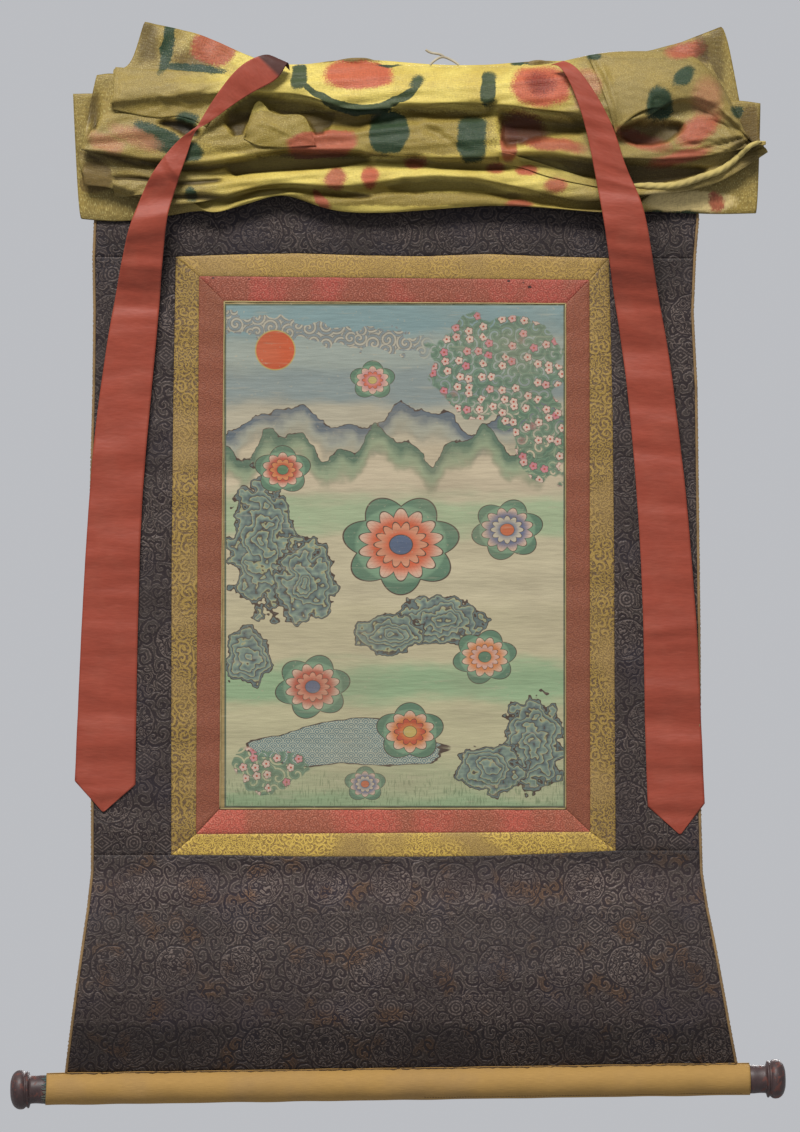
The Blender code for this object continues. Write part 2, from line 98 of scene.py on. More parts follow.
class Wire:
    """A number on a shader socket. The operators join wires and numbers through Math nodes."""

    def __init__(self, recipe: "Recipe", socket: bpy.types.NodeSocket) -> None:
        """Wraps a socket of the recipe's tree."""
        self.recipe = recipe
        self.socket = socket

    def _with(self, operation: str, *others: "Wire | float") -> "Wire":
        """This wire and the others through one Math node."""
        return self.recipe.maths(operation, self, *others)

    def __add__(self, other: "Wire | float") -> "Wire":
        """Sum."""
        return self._with("ADD", other)

    __radd__ = __add__

    def __sub__(self, other: "Wire | float") -> "Wire":
        """Difference."""
        return self._with("SUBTRACT", other)

    def __rsub__(self, other: float) -> "Wire":
        """Difference from a number."""
        return self.recipe.maths("SUBTRACT", other, self)

    def __mul__(self, other: "Wire | float") -> "Wire":
        """Product."""
        return self._with("MULTIPLY", other)

    __rmul__ = __mul__

    def __truediv__(self, other: "Wire | float") -> "Wire":
        """Quotient."""
        return self._with("DIVIDE", other)

    def __rtruediv__(self, other: float) -> "Wire":
        """Quotient of a number."""
        return self.recipe.maths("DIVIDE", other, self)

    def __pow__(self, power: float) -> "Wire":
        """Power."""
        return self._with("POWER", power)

    def __abs__(self) -> "Wire":
        """Size without sign."""
        return self._with("ABSOLUTE")

    def most(self, other: "Wire | float") -> "Wire":
        """The larger of the two."""
        return self._with("MAXIMUM", other)

    def least(self, other: "Wire | float") -> "Wire":
        """The smaller of the two."""
        return self._with("MINIMUM", other)

    def floor(self) -> "Wire":
        """The whole number below."""
        return self._with("FLOOR")

    def fract(self) -> "Wire":
        """What is left above the whole number below."""
        return self._with("FRACT")

    def odd(self) -> "Wire":
        """1 where the whole number below is odd, 0 where it is even."""
        return (self.floor() * 0.5).fract() * 2.0

    def sine(self) -> "Wire":
        """Sine."""
        return self._with("SINE")

    def above(self, low: float, high: float) -> "Wire":
        """Rises smoothly from 0 at low to 1 at high, or falls where low is the larger."""
        if low <= high:
            return self.recipe.ramp(self, low, high, 0.0, 1.0)
        return self.recipe.ramp(self, high, low, 1.0, 0.0)

    def band(self, middle: float, half: float, soft: float) -> "Wire":
        """1 within half of a middle value, 0 further than soft beyond it."""
        return abs(self - middle).above(half + soft, half)


def far(out_x: Wire, out_z: Wire) -> Wire:
    """How far a place is from a centre, by its offsets."""
    return (out_x * out_x + out_z * out_z) ** 0.5


class Recipe:
    """One material being made: its nodes, its coordinates and its Principled shader."""

    def __init__(self, name: str) -> None:
        """Starts an empty material with a Principled shader."""
        self.material = bpy.data.materials.new(name)
        self.material.use_nodes = True
        self.tree = self.material.node_tree
        self.shader = self.tree.nodes["Principled BSDF"]
        self._coordinates: dict[Source, bpy.types.NodeSocket] = {}

    def _feed(self, socket: bpy.types.NodeSocket, value: object) -> None:
        """Links a wire or a socket, or sets a plain value, on an input."""
        if isinstance(value, Wire):
            value = value.socket
        if isinstance(value, bpy.types.NodeSocket):
            self.tree.links.new(value, socket)
        elif isinstance(value, (tuple, list)) and len(value) == 3 and socket.type == "RGBA":
            socket.default_value = (*value, 1.0)
        else:
            socket.default_value = value

    def node(self, kind: str, settings: dict[str, object], sockets: dict[str | int, object]) -> bpy.types.Node:
        """Adds a node.

        Args:
            kind: The node's type, without its ShaderNode prefix.
            settings: Its own properties, which are set first.
            sockets: Values or links of its inputs, by name or number.

        Returns:
            The node.
        """
        made = self.tree.nodes.new("ShaderNode" + kind)
        for key, value in settings.items():
            setattr(made, key, value)
        for key, value in sockets.items():
            self._feed(made.inputs[key], value)
        return made

    def maths(self, operation: str, *values: "Wire | float") -> Wire:
        """One Math node on wires and numbers."""
        return Wire(self, self.node("Math", {"operation": operation}, dict(enumerate(values))).outputs[0])

    def ramp(self, value: Wire, low: float, high: float, start: float, end: float) -> Wire:
        """A clamped smooth step of a value.

        Args:
            value: What is mapped.
            low: Where the step begins.
            high: Where it ends.
            start: The result at low.
            end: The result at high.

        Returns:
            The mapped wire.
        """
        made = self.node("MapRange", {"interpolation_type": "SMOOTHSTEP"},
                         {0: value, 1: low, 2: high, 3: start, 4: end})
        return Wire(self, made.outputs[0])

    def coordinates(self, source: Source = Source.OBJECT) -> bpy.types.NodeSocket:
        """The piece's own coordinates, as one vector socket."""
        if source not in self._coordinates:
            made = self.node("TexCoord", {}, {})
            self._coordinates[source] = made.outputs[source.value]
        return self._coordinates[source]

    def reverse(self) -> Wire:
        """1 where a cloth shows its reverse, on the faces that look backward, and 0 on its front."""
        return self.split(self.node("TexCoord", {}, {}).outputs["Normal"])[1].above(0.1, 0.4)

    def split(self, vector: bpy.types.NodeSocket) -> tuple[Wire, Wire, Wire]:
        """The three numbers of a vector."""
        made = self.node("SeparateXYZ", {}, {0: vector})
        return tuple(Wire(self, socket) for socket in made.outputs)

    def join(self, x: "Wire | float", y: "Wire | float", z: "Wire | float" = 0.0) -> bpy.types.NodeSocket:
        """A vector of three numbers."""
        return self.node("CombineXYZ", {}, {0: x, 1: y, 2: z}).outputs[0]

    def noise(self, vector: bpy.types.NodeSocket, scale: float, detail: float = 2.0, roughness: float = 0.5) -> Wire:
        """Smooth noise about 0.5 with a number of waves a metre."""
        sockets = {"Vector": vector, "Scale": scale, "Detail": detail, "Roughness": roughness}
        return Wire(self, self.node("TexNoise", {}, sockets).outputs["Fac"])

    def cells(self, vector: bpy.types.NodeSocket, scale: float, scatter: float = 1.0) -> bpy.types.Node:
        """A flat Voronoi node, for its distance, its cell's place and its cell's colour."""
        return self.node("TexVoronoi", {"voronoi_dimensions": "2D"},
                         {"Vector": vector, "Scale": scale, "Randomness": scatter})

    def mix(self, factor: "Wire | float", below: object, above: object) -> bpy.types.NodeSocket:
        """Lays one colour over another by a factor."""
        return self.node("Mix", {"data_type": "RGBA"}, {0: factor, 6: below, 7: above}).outputs[2]

    def chance(self, cells: bpy.types.Node) -> Wire:
        """A number from 0 to 1 that differs from cell to cell."""
        return Wire(self, self.node("SeparateColor", {}, {0: cells.outputs["Color"]}).outputs[0])

    def tint(self, colour: object, factor: "Wire | float") -> bpy.types.NodeSocket:
        """A colour multiplied by a number, through Vector Math."""
        return self.node("VectorMath", {"operation": "SCALE"}, {0: colour, "Scale": factor}).outputs[0]

    def settle(self, *wires: Wire, after: Sequence[Wire]) -> tuple[Wire, ...]:
        """Coordinates that are worked out after the slower textures, which keeps few numbers waiting at a time.

        Args:
            wires: The coordinates.
            after: What is worked out first.

        Returns:
            The same coordinates, moved by far less than a thousandth of a millimetre.
        """
        total = after[0]
        for wire in after[1:]:
            total = total + wire
        nothing = total * NOTHING
        return tuple(wire + nothing for wire in wires)

    def curls(self, across: Wire, up: Wire, size: float, pitch: float) -> Wire:
        """Curled cloud scrolls: a spiral in every cell of a scattered lattice.

        Args:
            across: The coordinate across, in metres.
            up: The coordinate up, in metres.
            size: The size of one curl.
            pitch: The distance between the turns of a curl.

        Returns:
            1 along the middle of the scroll and 0 halfway between its turns.
        """
        cells = self.cells(self.join(across, up), 1.0 / size, 0.85)
        centre_x, centre_z, _ = self.split(cells.outputs["Position"])
        turn = self.chance(cells)
        out_x, out_z = across - centre_x, up - centre_z
        radius = far(out_x, out_z)
        hand = turn.above(0.49, 0.51) * 2.0 - 1.0
        angle = self.maths("ARCTAN2", out_z * hand, out_x)
        phase = radius / pitch + angle / (2 * math.pi) + turn * 3.0
        return abs(phase.fract() * 2.0 - 1.0)

    def bump(self, *layers: tuple[Wire, float]) -> bpy.types.NodeSocket:
        """Relief from layers of height.

        Args:
            layers: Pairs of a height wire, from 0 to 1, and its depth in metres.

        Returns:
            The normal socket.
        """
        height = layers[0][0] * (layers[0][1] / MM)
        for layer, depth in layers[1:]:
            height = height + layer * (depth / MM)
        return self.node("Bump", {}, {"Strength": 1.0, "Distance": MM, "Height": height}).outputs[0]

    def dress(self, **sockets: object) -> bpy.types.Material:
        """Sets the Principled shader's inputs, with spaces as underscores, and returns the material."""
        sockets["Base_Color"] = self.tint(sockets["Base_Color"], 1.0 / STUDIO_LIGHT)
        for key, value in sockets.items():
            self._feed(self.shader.inputs[key.replace("_", " ")], value)
        return self.material


# Mesh helpers


def spline_matrix(count: int, places: np.ndarray) -> np.ndarray:
    """Weights of a smooth curve that passes close to a number of rows.

    Args:
        count: The number of rows.
        places: Where the curve is read, from 0 to count - 1.

    Returns:
        A matrix with one line of row weights for each place.
    """
    padded = np.vstack([2 * np.eye(count)[0] - np.eye(count)[1], np.eye(count),
                        2 * np.eye(count)[-1] - np.eye(count)[-2]])
    lifted = padded.copy()
    lifted[1:-1] = 1.5 * padded[1:-1] - 0.25 * (padded[:-2] + padded[2:])
    lifted[1] = np.eye(count)[0]
    lifted[-2] = np.eye(count)[-1]
    first = np.clip(places.astype(int), 0, count - 2)
    share = (places - first)[:, None]
    weights = np.hstack([(1 - share) ** 3, 3 * share ** 3 - 6 * share ** 2 + 4,
                         -3 * share ** 3 + 3 * share ** 2 + 3 * share + 1, share ** 3]) / 6
    index = np.clip(first[:, None] + np.arange(4), 0, len(lifted) - 1)
    return np.einsum("pk,pkr->pr", weights, lifted[index])


def ripple(x: np.ndarray, z: np.ndarray, seed: int, scale_x: float, scale_z: float, waves: int = 9) -> np.ndarray:
    """A seeded sum of sine waves, from about -1 to 1.

    Args:
        x: Distances across, in metres.
        z: Heights, in metres.
        seed: Which pattern.
        scale_x: The usual wavelength across.
        scale_z: The usual wavelength down.
        waves: How many waves are summed.

    Returns:
        The height of the pattern at each point.
    """
    chance = random.Random(seed)
    total = np.zeros_like(x)
    for _ in range(waves):
        turn_x = chance.uniform(0.4, 1.4) * chance.choice((-1, 1)) * 2 * math.pi / scale_x
        turn_z = chance.uniform(0.6, 1.4) * 2 * math.pi / scale_z
        total += np.sin(turn_x * x + turn_z * z + chance.uniform(0, 2 * math.pi))
    return total / math.sqrt(waves)


def smooth(share: np.ndarray) -> np.ndarray:
    """Shares from 0 to 1 that leave both ends gently."""
    return share * share * (3 - 2 * share)


def soften(depth: np.ndarray, times: int) -> np.ndarray:
    """A grid of depths, each averaged with its four neighbours a number of times."""
    for _ in range(times):
        padded = np.pad(depth, 1, mode="edge")
        depth = (padded[:-2, 1:-1] + padded[2:, 1:-1] + padded[1:-1, :-2] + padded[1:-1, 2:]) / 4
    return depth


def foremost(tree: BVHTree, x: float, z: float) -> float | None:
    """The depth of the foremost cloth at a place, or None where there is none."""
    hit = tree.ray_cast(Vector((x, -1.0, z)), Vector((0, 1, 0)))[0]
    return None if hit is None else hit.y


def own_piece(name: str, made: bmesh.types.BMesh, material: bpy.types.Material,
              replaces: Sequence[str] = ()) -> bpy.types.Object:
    """Turns a bmesh into a piece of the scroll that rides on it.

    Args:
        name: The piece's name.
        made: The finished bmesh, which is freed.
        material: Its finish.
        replaces: CAD nodes that the piece stands for.

    Returns:
        The piece.
    """
    mesh = bpy.data.meshes.new(name)
    made.to_mesh(mesh)
    made.free()
    mesh.shade_smooth()
    mesh.materials.append(material)
    piece = bpy.data.objects.new(name, mesh)
    bpy.context.scene.collection.objects.link(piece)
    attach(piece, ROOT)
    if replaces:
        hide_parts(*replaces)
    return piece


def grid(columns: int, rows: int, place: Place, size: tuple[float, float]) -> bmesh.types.BMesh:
    """A grid whose point at (u, v), each from 0 to 1, goes to place(u, v), with UVs in metres.

    Args:
        columns: Faces across.
        rows: Faces along.
        place: Gives the points, as an array of three columns.
        size: The flat width and length that the UV map covers.

    Returns:
        The bmesh.
    """
    made = bmesh.new()
    bmesh.ops.create_grid(made, x_segments=columns, y_segments=rows, size=1.0)
    flat = np.array([vertex.co[:2] for vertex in made.verts])
    u, v = (flat[:, 0] + 1) / 2, (flat[:, 1] + 1) / 2
    for vertex, point in zip(made.verts, place(u, v)):
        vertex.co = point
    made.verts.index_update()
    uv = made.loops.layers.uv.new("UVMap")
    width, length = size
    for face in made.faces:
        for loop in face.loops:
            index = loop.vert.index
            loop[uv].uv = (u[index] * width, v[index] * length)
    return made


def thicken(piece: bpy.types.Object, thickness: float) -> bpy.types.Object:
    """Gives a sheet its thickness, half to each side."""
    solidify = piece.modifiers.new("thickness", "SOLIDIFY")
    solidify.thickness = thickness
    solidify.offset = 0.0
    return piece


def tube(path: np.ndarray, radii: np.ndarray, around: int, strands: int = 0,
         twist: float = 0.0) -> bmesh.types.BMesh:
    """A closed tube along a path, plain or laid up of twisted strands.

    Args:
        path: Points of the centreline.
        radii: The radius at each point.
        around: Faces round the tube.
        strands: How many strands show, or 0 for a smooth tube.
        twist: Turns a metre of the strands.

    Returns:
        The bmesh, with both ends closed.
    """
    steps = np.linalg.norm(np.diff(path, axis=0), axis=1)
    run = np.concatenate([[0.0], np.cumsum(steps)])
    tangents = np.gradient(path, axis=0)
    tangents /= np.linalg.norm(tangents, axis=1)[:, None]
    side = np.cross(tangents, np.array([0.0, 1.0, 0.02]))
    side /= np.linalg.norm(side, axis=1)[:, None]
    up = np.cross(side, tangents)

    def place(u: np.ndarray, v: np.ndarray) -> np.ndarray:
        """Points round the tube at u and along it at v."""
        index = np.rint(v * (len(path) - 1)).astype(int)
        angle = 2 * math.pi * u
        radius = radii[index]
        if strands:
            laid = angle - 2 * math.pi * twist * run[index]
            radius = radius * (0.86 + 0.16 * np.abs(np.cos(strands / 2 * laid)))
        return (path[index] + side[index] * (radius * np.cos(angle))[:, None]
                + up[index] * (radius * np.sin(angle))[:, None])

    made = grid(around, len(path) - 1, place, (2 * math.pi * float(radii.mean()), float(run[-1])))
    bmesh.ops.remove_doubles(made, verts=made.verts, dist=1e-7)
    rims = [edge for edge in made.edges if edge.is_boundary]
    bmesh.ops.holes_fill(made, edges=rims, sides=0)
    bmesh.ops.recalc_face_normals(made, faces=made.faces)
    return made


# Finishes


@dataclass(frozen=True)
class DarkBrocade:
    """Dark silk brocade with metal-thread medallions, treasures and cloud scrolls."""

    ground: Colour = (0.027, 0.017, 0.018)
    fill: Colour = (0.045, 0.033, 0.029)
    thread: Colour = (0.184, 0.14, 0.12)
    rust: Colour = (0.17, 0.08, 0.03)
    medallion: float = 27 * MM
    pitch_x: float = 86.0 * MM
    pitch_z: float = 108.7 * MM
    start_x: float = -349 * MM
    start_z: float = -1093.7 * MM
    row_shift: float = -29.1 * MM

    def _discs(self, x: Wire, z: Wire, bend: Wire, maze: Wire) -> tuple[Wire, Wire, Wire, Wire]:
        """The lattice of medallions, each row shifted against the next, filled with winding scrolls.

        Args:
            x: The coordinate across.
            z: The height.
            bend: Noise that bends the rims.
            maze: Noise that the scrolls wind along.

        Returns:
            The discs' fill and lines, where the ground between them is open, and the height above the middle
            of the nearest row.
        """
        row = (z - self.start_z) / self.pitch_z + 0.5
        odd = row.odd()
        column = (x - self.start_x - odd * self.row_shift) / self.pitch_x + 0.5
        out_x = (column.fract() - 0.5) * self.pitch_x
        out_z = (row.fract() - 0.5) * self.pitch_z
        radius = far(out_x, out_z) + bend * 5 * MM
        inside = radius.above(self.medallion + 0.5 * MM, self.medallion - 0.8 * MM)
        open_ground = radius.above(self.medallion + 1.2 * MM, self.medallion + 2.8 * MM)
        winding = abs((maze * 3.6 + radius / (12 * MM)).fract() * 2.0 - 1.0)
        rim = radius.band(self.medallion - 0.6 * MM, 0.5 * MM, 0.9 * MM)
        disc_fill = winding.above(0.3, 0.55) * inside * 0.5
        disc_line = (winding.band(0.55, 0.14, 0.17) * 1.1).most(rim * 1.1) * inside
        return disc_fill, disc_line, open_ground, out_z

    def _treasures(self, x: Wire, z: Wire, bend: Wire) -> tuple[Wire, Wire]:
        """Roundels and lozenges halfway between the rows.

        Args:
            x: The coordinate across.
            z: The height.
            bend: Noise that bends their rings.

        Returns:
            Where they lie, and their lines.
        """
        level = (z - self.start_z) / self.pitch_z
        gap_odd = level.odd()
        half_column = (x - self.start_x - gap_odd * self.row_shift) / (self.pitch_x / 2) + 0.5
        gap_x = (half_column.fract() - 0.5) * (self.pitch_x / 2)
        gap_z = (level.fract() - 0.5) * self.pitch_z
        coin = far(gap_x, gap_z) + bend * 3 * MM
        kind = half_column.odd()
        rings = coin.band(9.4 * MM, 0.7 * MM, 0.9 * MM).most(coin.band(5.0 * MM, 0.6 * MM, 0.8 * MM))
        rings = rings.most(coin.above(2.2 * MM, 1.0 * MM))
        corner = abs(gap_x) * 0.75 + abs(gap_z)
        lozenge = corner.band(11.0 * MM, 0.7 * MM, 0.9 * MM).most(corner.band(6.4 * MM, 0.6 * MM, 0.8 * MM))
        lozenge = lozenge.most(corner.above(2.6 * MM, 1.2 * MM))
        treasure_zone = coin.above(13.5 * MM, 12 * MM)
        return treasure_zone, rings * (1 - kind) + lozenge * kind

    def make(self) -> bpy.types.Material:
        """The material."""
        mix = Recipe("dark_brocade_cloth")
        x, _, z = mix.split(mix.coordinates())
        flat = mix.join(x, z)
        bend = mix.noise(flat, 75.0, 1.0) - 0.5
        lean = mix.noise(mix.join(z, x), 75.0, 1.0) - 0.5
        warp_x, warp_z = x + bend * 8 * MM, z + lean * 8 * MM
        maze = mix.noise(mix.join(z * 1.1, x), 85.0, 1.0)
        clouds = mix.curls(warp_x, warp_z, 19 * MM, 9.5 * MM)
        sprays = mix.curls(warp_x + 0.4, warp_z, 13 * MM, 7.0 * MM)
        back = mix.reverse()
        worn = mix.noise(flat, 330.0, 2.0).above(0.34, 0.56)
        strong = mix.noise(flat, 9.0, 2.0).above(0.35, 0.7)
        patches = mix.noise(flat, 24.0, 1.0).above(0.54, 0.7)
        violet = mix.noise(flat, 13.0, 1.0)
        grain = mix.noise(flat, 620.0, 2.0)
        x, z = mix.settle(x, z, after=(bend, lean, maze, clouds, sprays, worn, strong, patches, violet, grain, back))

        disc_fill, disc_line, open_ground, out_z = self._discs(x, z, bend, maze)
        treasure_zone, treasure = self._treasures(x, z, bend)

        # Fat cloud scrolls over the rest, smaller sprays of them between the rows
        between = abs(out_z).above(self.pitch_z * 0.33, self.pitch_z * 0.37)
        field = clouds * (1 - between) + sprays * between
        cloud_fill = field.above(0.38, 0.54) * (1 - treasure_zone) + treasure_zone * 0.5
        cloud_line = field.band(0.54, 0.12, 0.15).most(field.above(0.93, 0.99) * 0.5)
        cloud_line = cloud_line * (1 - treasure_zone) + treasure * treasure_zone
        fill = disc_fill + cloud_fill * open_ground
        line = disc_line + cloud_line * open_ground

        lines = line * worn * (strong * 0.55 + 0.36)
        rust_here = patches * z.above(-1020 * MM, -1060 * MM)
        high = z.above(-330 * MM, -250 * MM)
        violet_here = (violet + high * 0.08).above(0.5, 0.75)
        colour = mix.mix(violet_here * 0.6, self.ground, (0.022, 0.016, 0.025))
        body = mix.mix(rust_here * 0.7, mix.mix(violet_here * 0.5, self.fill, (0.06, 0.043, 0.051)),
                       (0.09, 0.048, 0.026))
        colour = mix.mix(fill * 0.9, colour, body)
        colour = mix.mix(lines, colour, mix.mix(rust_here * 0.7, self.thread, self.rust))
        # Painted sheen: lighter bands where the lower panel bulges forward and just below the veil. Painted shade:
        # darker at the foot where the cloth curves under to the sleeve, and over the top strip under the veil. A
        # darker band also runs just below the yellow ring.
        painted_sheen = z.band(-1099 * MM, 8 * MM, 30 * MM) * 0.45 + z.band(-217 * MM, 6 * MM, 18 * MM) * 0.2
        shade = (z.above(-1272 * MM, -1290 * MM) * 0.36 + z.band(-1050 * MM, 4 * MM, 10 * MM) * 0.2
                 + high * 0.28)
        colour = mix.mix(back * 0.6, colour, (0.05, 0.036, 0.032))
        colour = mix.tint(colour, (grain * 0.8 + 0.48) * (painted_sheen - shade + 1.0))
        return mix.dress(Base_Color=colour, Roughness=0.6 - lines * 0.2, Specular_IOR_Level=0.2,
                         Normal=mix.bump((fill, 0.45 * MM), (lines, 0.35 * MM), (grain, 0.25 * MM)))


@dataclass(frozen=True)
class YellowBrocade:
    """Gold-yellow brocade with brown cloud scrolls."""

    name: str
    gold: Colour
    line: Colour
    curl: float
    pitch: float
    strength: float
    pale: Colour = (0.37, 0.235, 0.078)

    def make(self) -> bpy.types.Material:
        """The material."""
        mix = Recipe(self.name)
        x, _, z = mix.split(mix.coordinates())
        flat = mix.join(x, z)
        bend = (mix.noise(flat, 90.0, 1.0) - 0.5) * 7 * MM
        large = mix.curls(x + bend, z - bend, self.curl, self.pitch)
        small = mix.curls(x + bend + 0.3, z, self.curl * 0.55, self.pitch * 0.55)
        where = mix.noise(flat, 22.0, 1.0).above(0.45, 0.58)
        field = large * (1 - where) + small * where
        fill = field.above(0.42, 0.58)
        outline = field.band(0.5, 0.06, 0.1)
        worn = mix.noise(flat, 300.0, 2.0).above(0.34, 0.58)
        faded = mix.noise(flat, 11.0, 1.0).above(0.46, 0.68)
        grain = mix.noise(mix.join(x, z * 2.0), 620.0, 2.0)
        glint_specks = mix.noise(flat, 1300.0, 1.0).above(0.56, 0.72)
        ground = mix.mix(faded * 0.8, self.gold, self.pale)
        colour = mix.mix(fill * worn * self.strength * (1 - faded * 0.5), ground, self.line)
        colour = mix.mix(outline * worn * 0.55, colour, (0.1, 0.055, 0.032))
        colour = mix.tint(colour, grain * 0.8 + 0.6)
        # Painted glints: light gold specks where the metal thread catches the light, fewer on the figures.
        colour = mix.mix(glint_specks * 0.4 * (1 - fill * 0.5), colour, (0.74, 0.56, 0.23))
        colour = mix.mix(mix.reverse() * 0.6, colour, (0.23, 0.155, 0.07))
        return mix.dress(Base_Color=colour, Roughness=0.52, Specular_IOR_Level=0.25,
                         Normal=mix.bump((fill, -0.35 * MM), (grain, 0.4 * MM)))


@dataclass(frozen=True)
class RedBrocade:
    """Brick-red brocade, brighter and livelier across than down the sides."""

    name: str
    ground: Colour
    bright: Colour
    speck: Colour
    figured: float

    def make(self) -> bpy.types.Material:
        """The material."""
        mix = Recipe(self.name)
        x, _, z = mix.split(mix.coordinates())
        flat = mix.join(x, z)
        figure = mix.curls(x, z, 8 * MM, 3.0 * MM)
        big = mix.curls(x - 0.2, z, 20 * MM, 7.0 * MM).above(0.6, 0.85)
        glow = mix.noise(mix.join(x, z * 0.4), 14.0, 2.0).above(0.42, 0.6)
        base = mix.mix(glow * self.figured, self.ground, self.bright)
        grain = mix.noise(mix.join(x * 1.5, z), 700.0, 2.0)
        base = mix.tint(base, grain + 0.5)
        dots = mix.noise(flat, 520.0, 1.0)
        dashes = figure.above(0.5, 0.7) * dots.above(0.46, 0.6)
        colour = mix.mix(dashes * (0.2 + 0.45 * self.figured), base, self.speck)
        nicks = figure.above(0.45, 0.25) * dots.above(0.52, 0.42)
        colour = mix.mix(nicks * 0.4, colour, (0.15, 0.03, 0.022))
        colour = mix.mix(big * 0.3, colour, (0.15, 0.045, 0.028))
        for hole_x, hole_z, size in ((152.0, -287.5, 3.0), (180.0, -295.5, 3.6), (172.0, -290.0, 1.6),
                                     (-243.0, -283.5, 2.4), (-195.0, -284.8, 1.8)):
            away = ((x - hole_x * MM) ** 2.0 + ((z - hole_z * MM) * 1.5) ** 2.0) ** 0.5
            spot = (away + (grain - 0.5) * 2.0 * MM).above(size * MM, size * MM * 0.5)
            colour = mix.mix(spot, colour, (0.035, 0.012, 0.01))
        colour = mix.mix(mix.reverse() * 0.6, colour, (0.2, 0.085, 0.055))
        return mix.dress(Base_Color=colour, Roughness=0.58, Specular_IOR_Level=0.22,
                         Normal=mix.bump((figure, 0.25 * MM), (grain, 0.4 * MM)))


@dataclass(frozen=True)
class Blossom:
    """A round flower of the painting: its centre and radius in millimetres and its petals' colours."""

    x: float
    z: float
    size: float
    petals: int
    outer: Colour
    middle: Colour
    heart: Colour


@dataclass(frozen=True)
class Ridge:
    """A painted hill line in millimetres: mean height, swell, wavelength, start and its two colours."""

    z: float
    swell: float
    length: float
    start: float
    crest: Colour
    foot: Colour


@dataclass(frozen=True)
class Mound:
    """A painted rock or thicket in millimetres: its centre and its half width and height."""

    x: float
    z: float
    wide: float
    tall: float


@dataclass(frozen=True)
class PaintedCotton:
    """The painted panel: a plain garden landscape with hills, rocks, water, thickets and lotus flowers."""

    bands: tuple[tuple[float, Colour], ...] = (
        # heights in millimetres and the washes that begin there, from the sky down
        (-360, (0.27, 0.335, 0.3)), (-410, (0.2, 0.27, 0.265)), (-450, (0.4, 0.385, 0.29)),
        (-500, (0.5, 0.44, 0.31)), (-575, (0.32, 0.42, 0.26)), (-625, (0.48, 0.445, 0.3)),
        (-720, (0.46, 0.43, 0.28)), (-800, (0.25, 0.39, 0.23)), (-850, (0.44, 0.43, 0.27)),
        (-930, (0.35, 0.39, 0.24)), (-975, (0.24, 0.36, 0.21)))
    top_wash: Colour = (0.17, 0.29, 0.3)
    ink: Colour = (0.04, 0.042, 0.04)
    ridges: tuple[Ridge, ...] = (
        Ridge(-470, 15, 170, 0.6, (0.075, 0.13, 0.165), (0.38, 0.4, 0.31)),
        Ridge(-505, 18, 130, 2.4, (0.06, 0.15, 0.11), (0.3, 0.38, 0.24)),
    )
    rocks: tuple[Mound, ...] = (
        Mound(-176, -640, 44, 92), Mound(-120, -690, 40, 56), Mound(186, -905, 40, 66), Mound(128, -940, 44, 34),
        Mound(60, -742, 58, 34), Mound(-8, -760, 46, 26), Mound(-196, -790, 30, 40),
    )
    thickets: tuple[Mound, ...] = (Mound(140, -400, 88, 74), Mound(196, -500, 36, 60), Mound(-170, -940, 50, 30))
    blossoms: tuple[Blossom, ...] = (
        Blossom(8, -640, 62, 14, (0.54, 0.1, 0.045), (0.56, 0.26, 0.16), (0.06, 0.12, 0.2)),
        Blossom(-150, -540, 30, 10, (0.42, 0.075, 0.05), (0.56, 0.22, 0.09), (0.07, 0.19, 0.11)),
        Blossom(150, -620, 38, 12, (0.07, 0.13, 0.23), (0.48, 0.44, 0.33), (0.48, 0.11, 0.045)),
        Blossom(120, -790, 34, 12, (0.54, 0.19, 0.06), (0.52, 0.33, 0.28), (0.07, 0.18, 0.12)),
        Blossom(-110, -830, 40, 12, (0.4, 0.07, 0.045), (0.54, 0.24, 0.16), (0.07, 0.12, 0.21)),
        Blossom(-30, -420, 24, 10, (0.5, 0.24, 0.24), (0.54, 0.12, 0.07), (0.46, 0.36, 0.12)),
        Blossom(20, -890, 36, 10, (0.54, 0.18, 0.06), (0.42, 0.08, 0.05), (0.46, 0.36, 0.12)),
        Blossom(-40, -960, 22, 10, (0.08, 0.15, 0.25), (0.48, 0.42, 0.32), (0.46, 0.11, 0.05)),
    )

    def _blossom(self, mix: Recipe, x: Wire, z: Wire, colour: object, flower: Blossom) -> object:
        """Lays one flower over the painting."""
        out_x, out_z = x - flower.x * MM, (z - flower.z * MM) * 1.18
        size = flower.size * MM
        radius = far(out_x, out_z)
        angle = mix.maths("ARCTAN2", out_z, out_x)
        share = radius / size
        leaf = abs((angle * (flower.petals / 4) + 0.8).sine())
        leaves = mix.mix((share * 9.0).sine().above(0.2, 0.9), (0.075, 0.19, 0.13), (0.15, 0.29, 0.19))
        colour = mix.mix((share - leaf * 0.3).above(1.0, 0.98), colour, self.ink)
        colour = mix.mix((share - leaf * 0.3).above(0.965, 0.95), colour, leaves)
        lobes = abs((angle * (flower.petals / 2)).sine())
        petal = share - lobes * 0.22
        colour = mix.mix(petal.above(0.73, 0.71), colour, self.ink)
        outer = mix.mix(share.above(0.52, 0.92), flower.outer, (0.58, 0.43, 0.32))
        veins = abs((angle * (flower.petals * 2.0)).sine()).above(0.25, 0.05)
        outer = mix.mix(veins * 0.35, outer, (0.25, 0.06, 0.04))
        colour = mix.mix(petal.above(0.7, 0.68), colour, outer)
        inner_lobes = abs((angle * (flower.petals / 2) + math.pi / 2).sine())
        inner = share - inner_lobes * 0.16
        colour = mix.mix(inner.above(0.45, 0.43), colour, self.ink)
        middle = mix.mix(share.above(0.2, 0.5), flower.outer, flower.middle)
        colour = mix.mix(inner.above(0.42, 0.4), colour, middle)
        colour = mix.mix(share.above(0.27, 0.25), colour, self.ink)
        return mix.mix(share.above(0.25, 0.23), colour, flower.heart)

    def _mound(self, x: Wire, z: Wire, mound: Mound, jag: Wire) -> Wire:
        """How far out of a mound a place is: under 1 inside."""
        out_x, out_z = (x - mound.x * MM) / (mound.wide * MM), (z - mound.z * MM) / (mound.tall * MM)
        return far(out_x, out_z) + (jag - 0.5) * 1.3

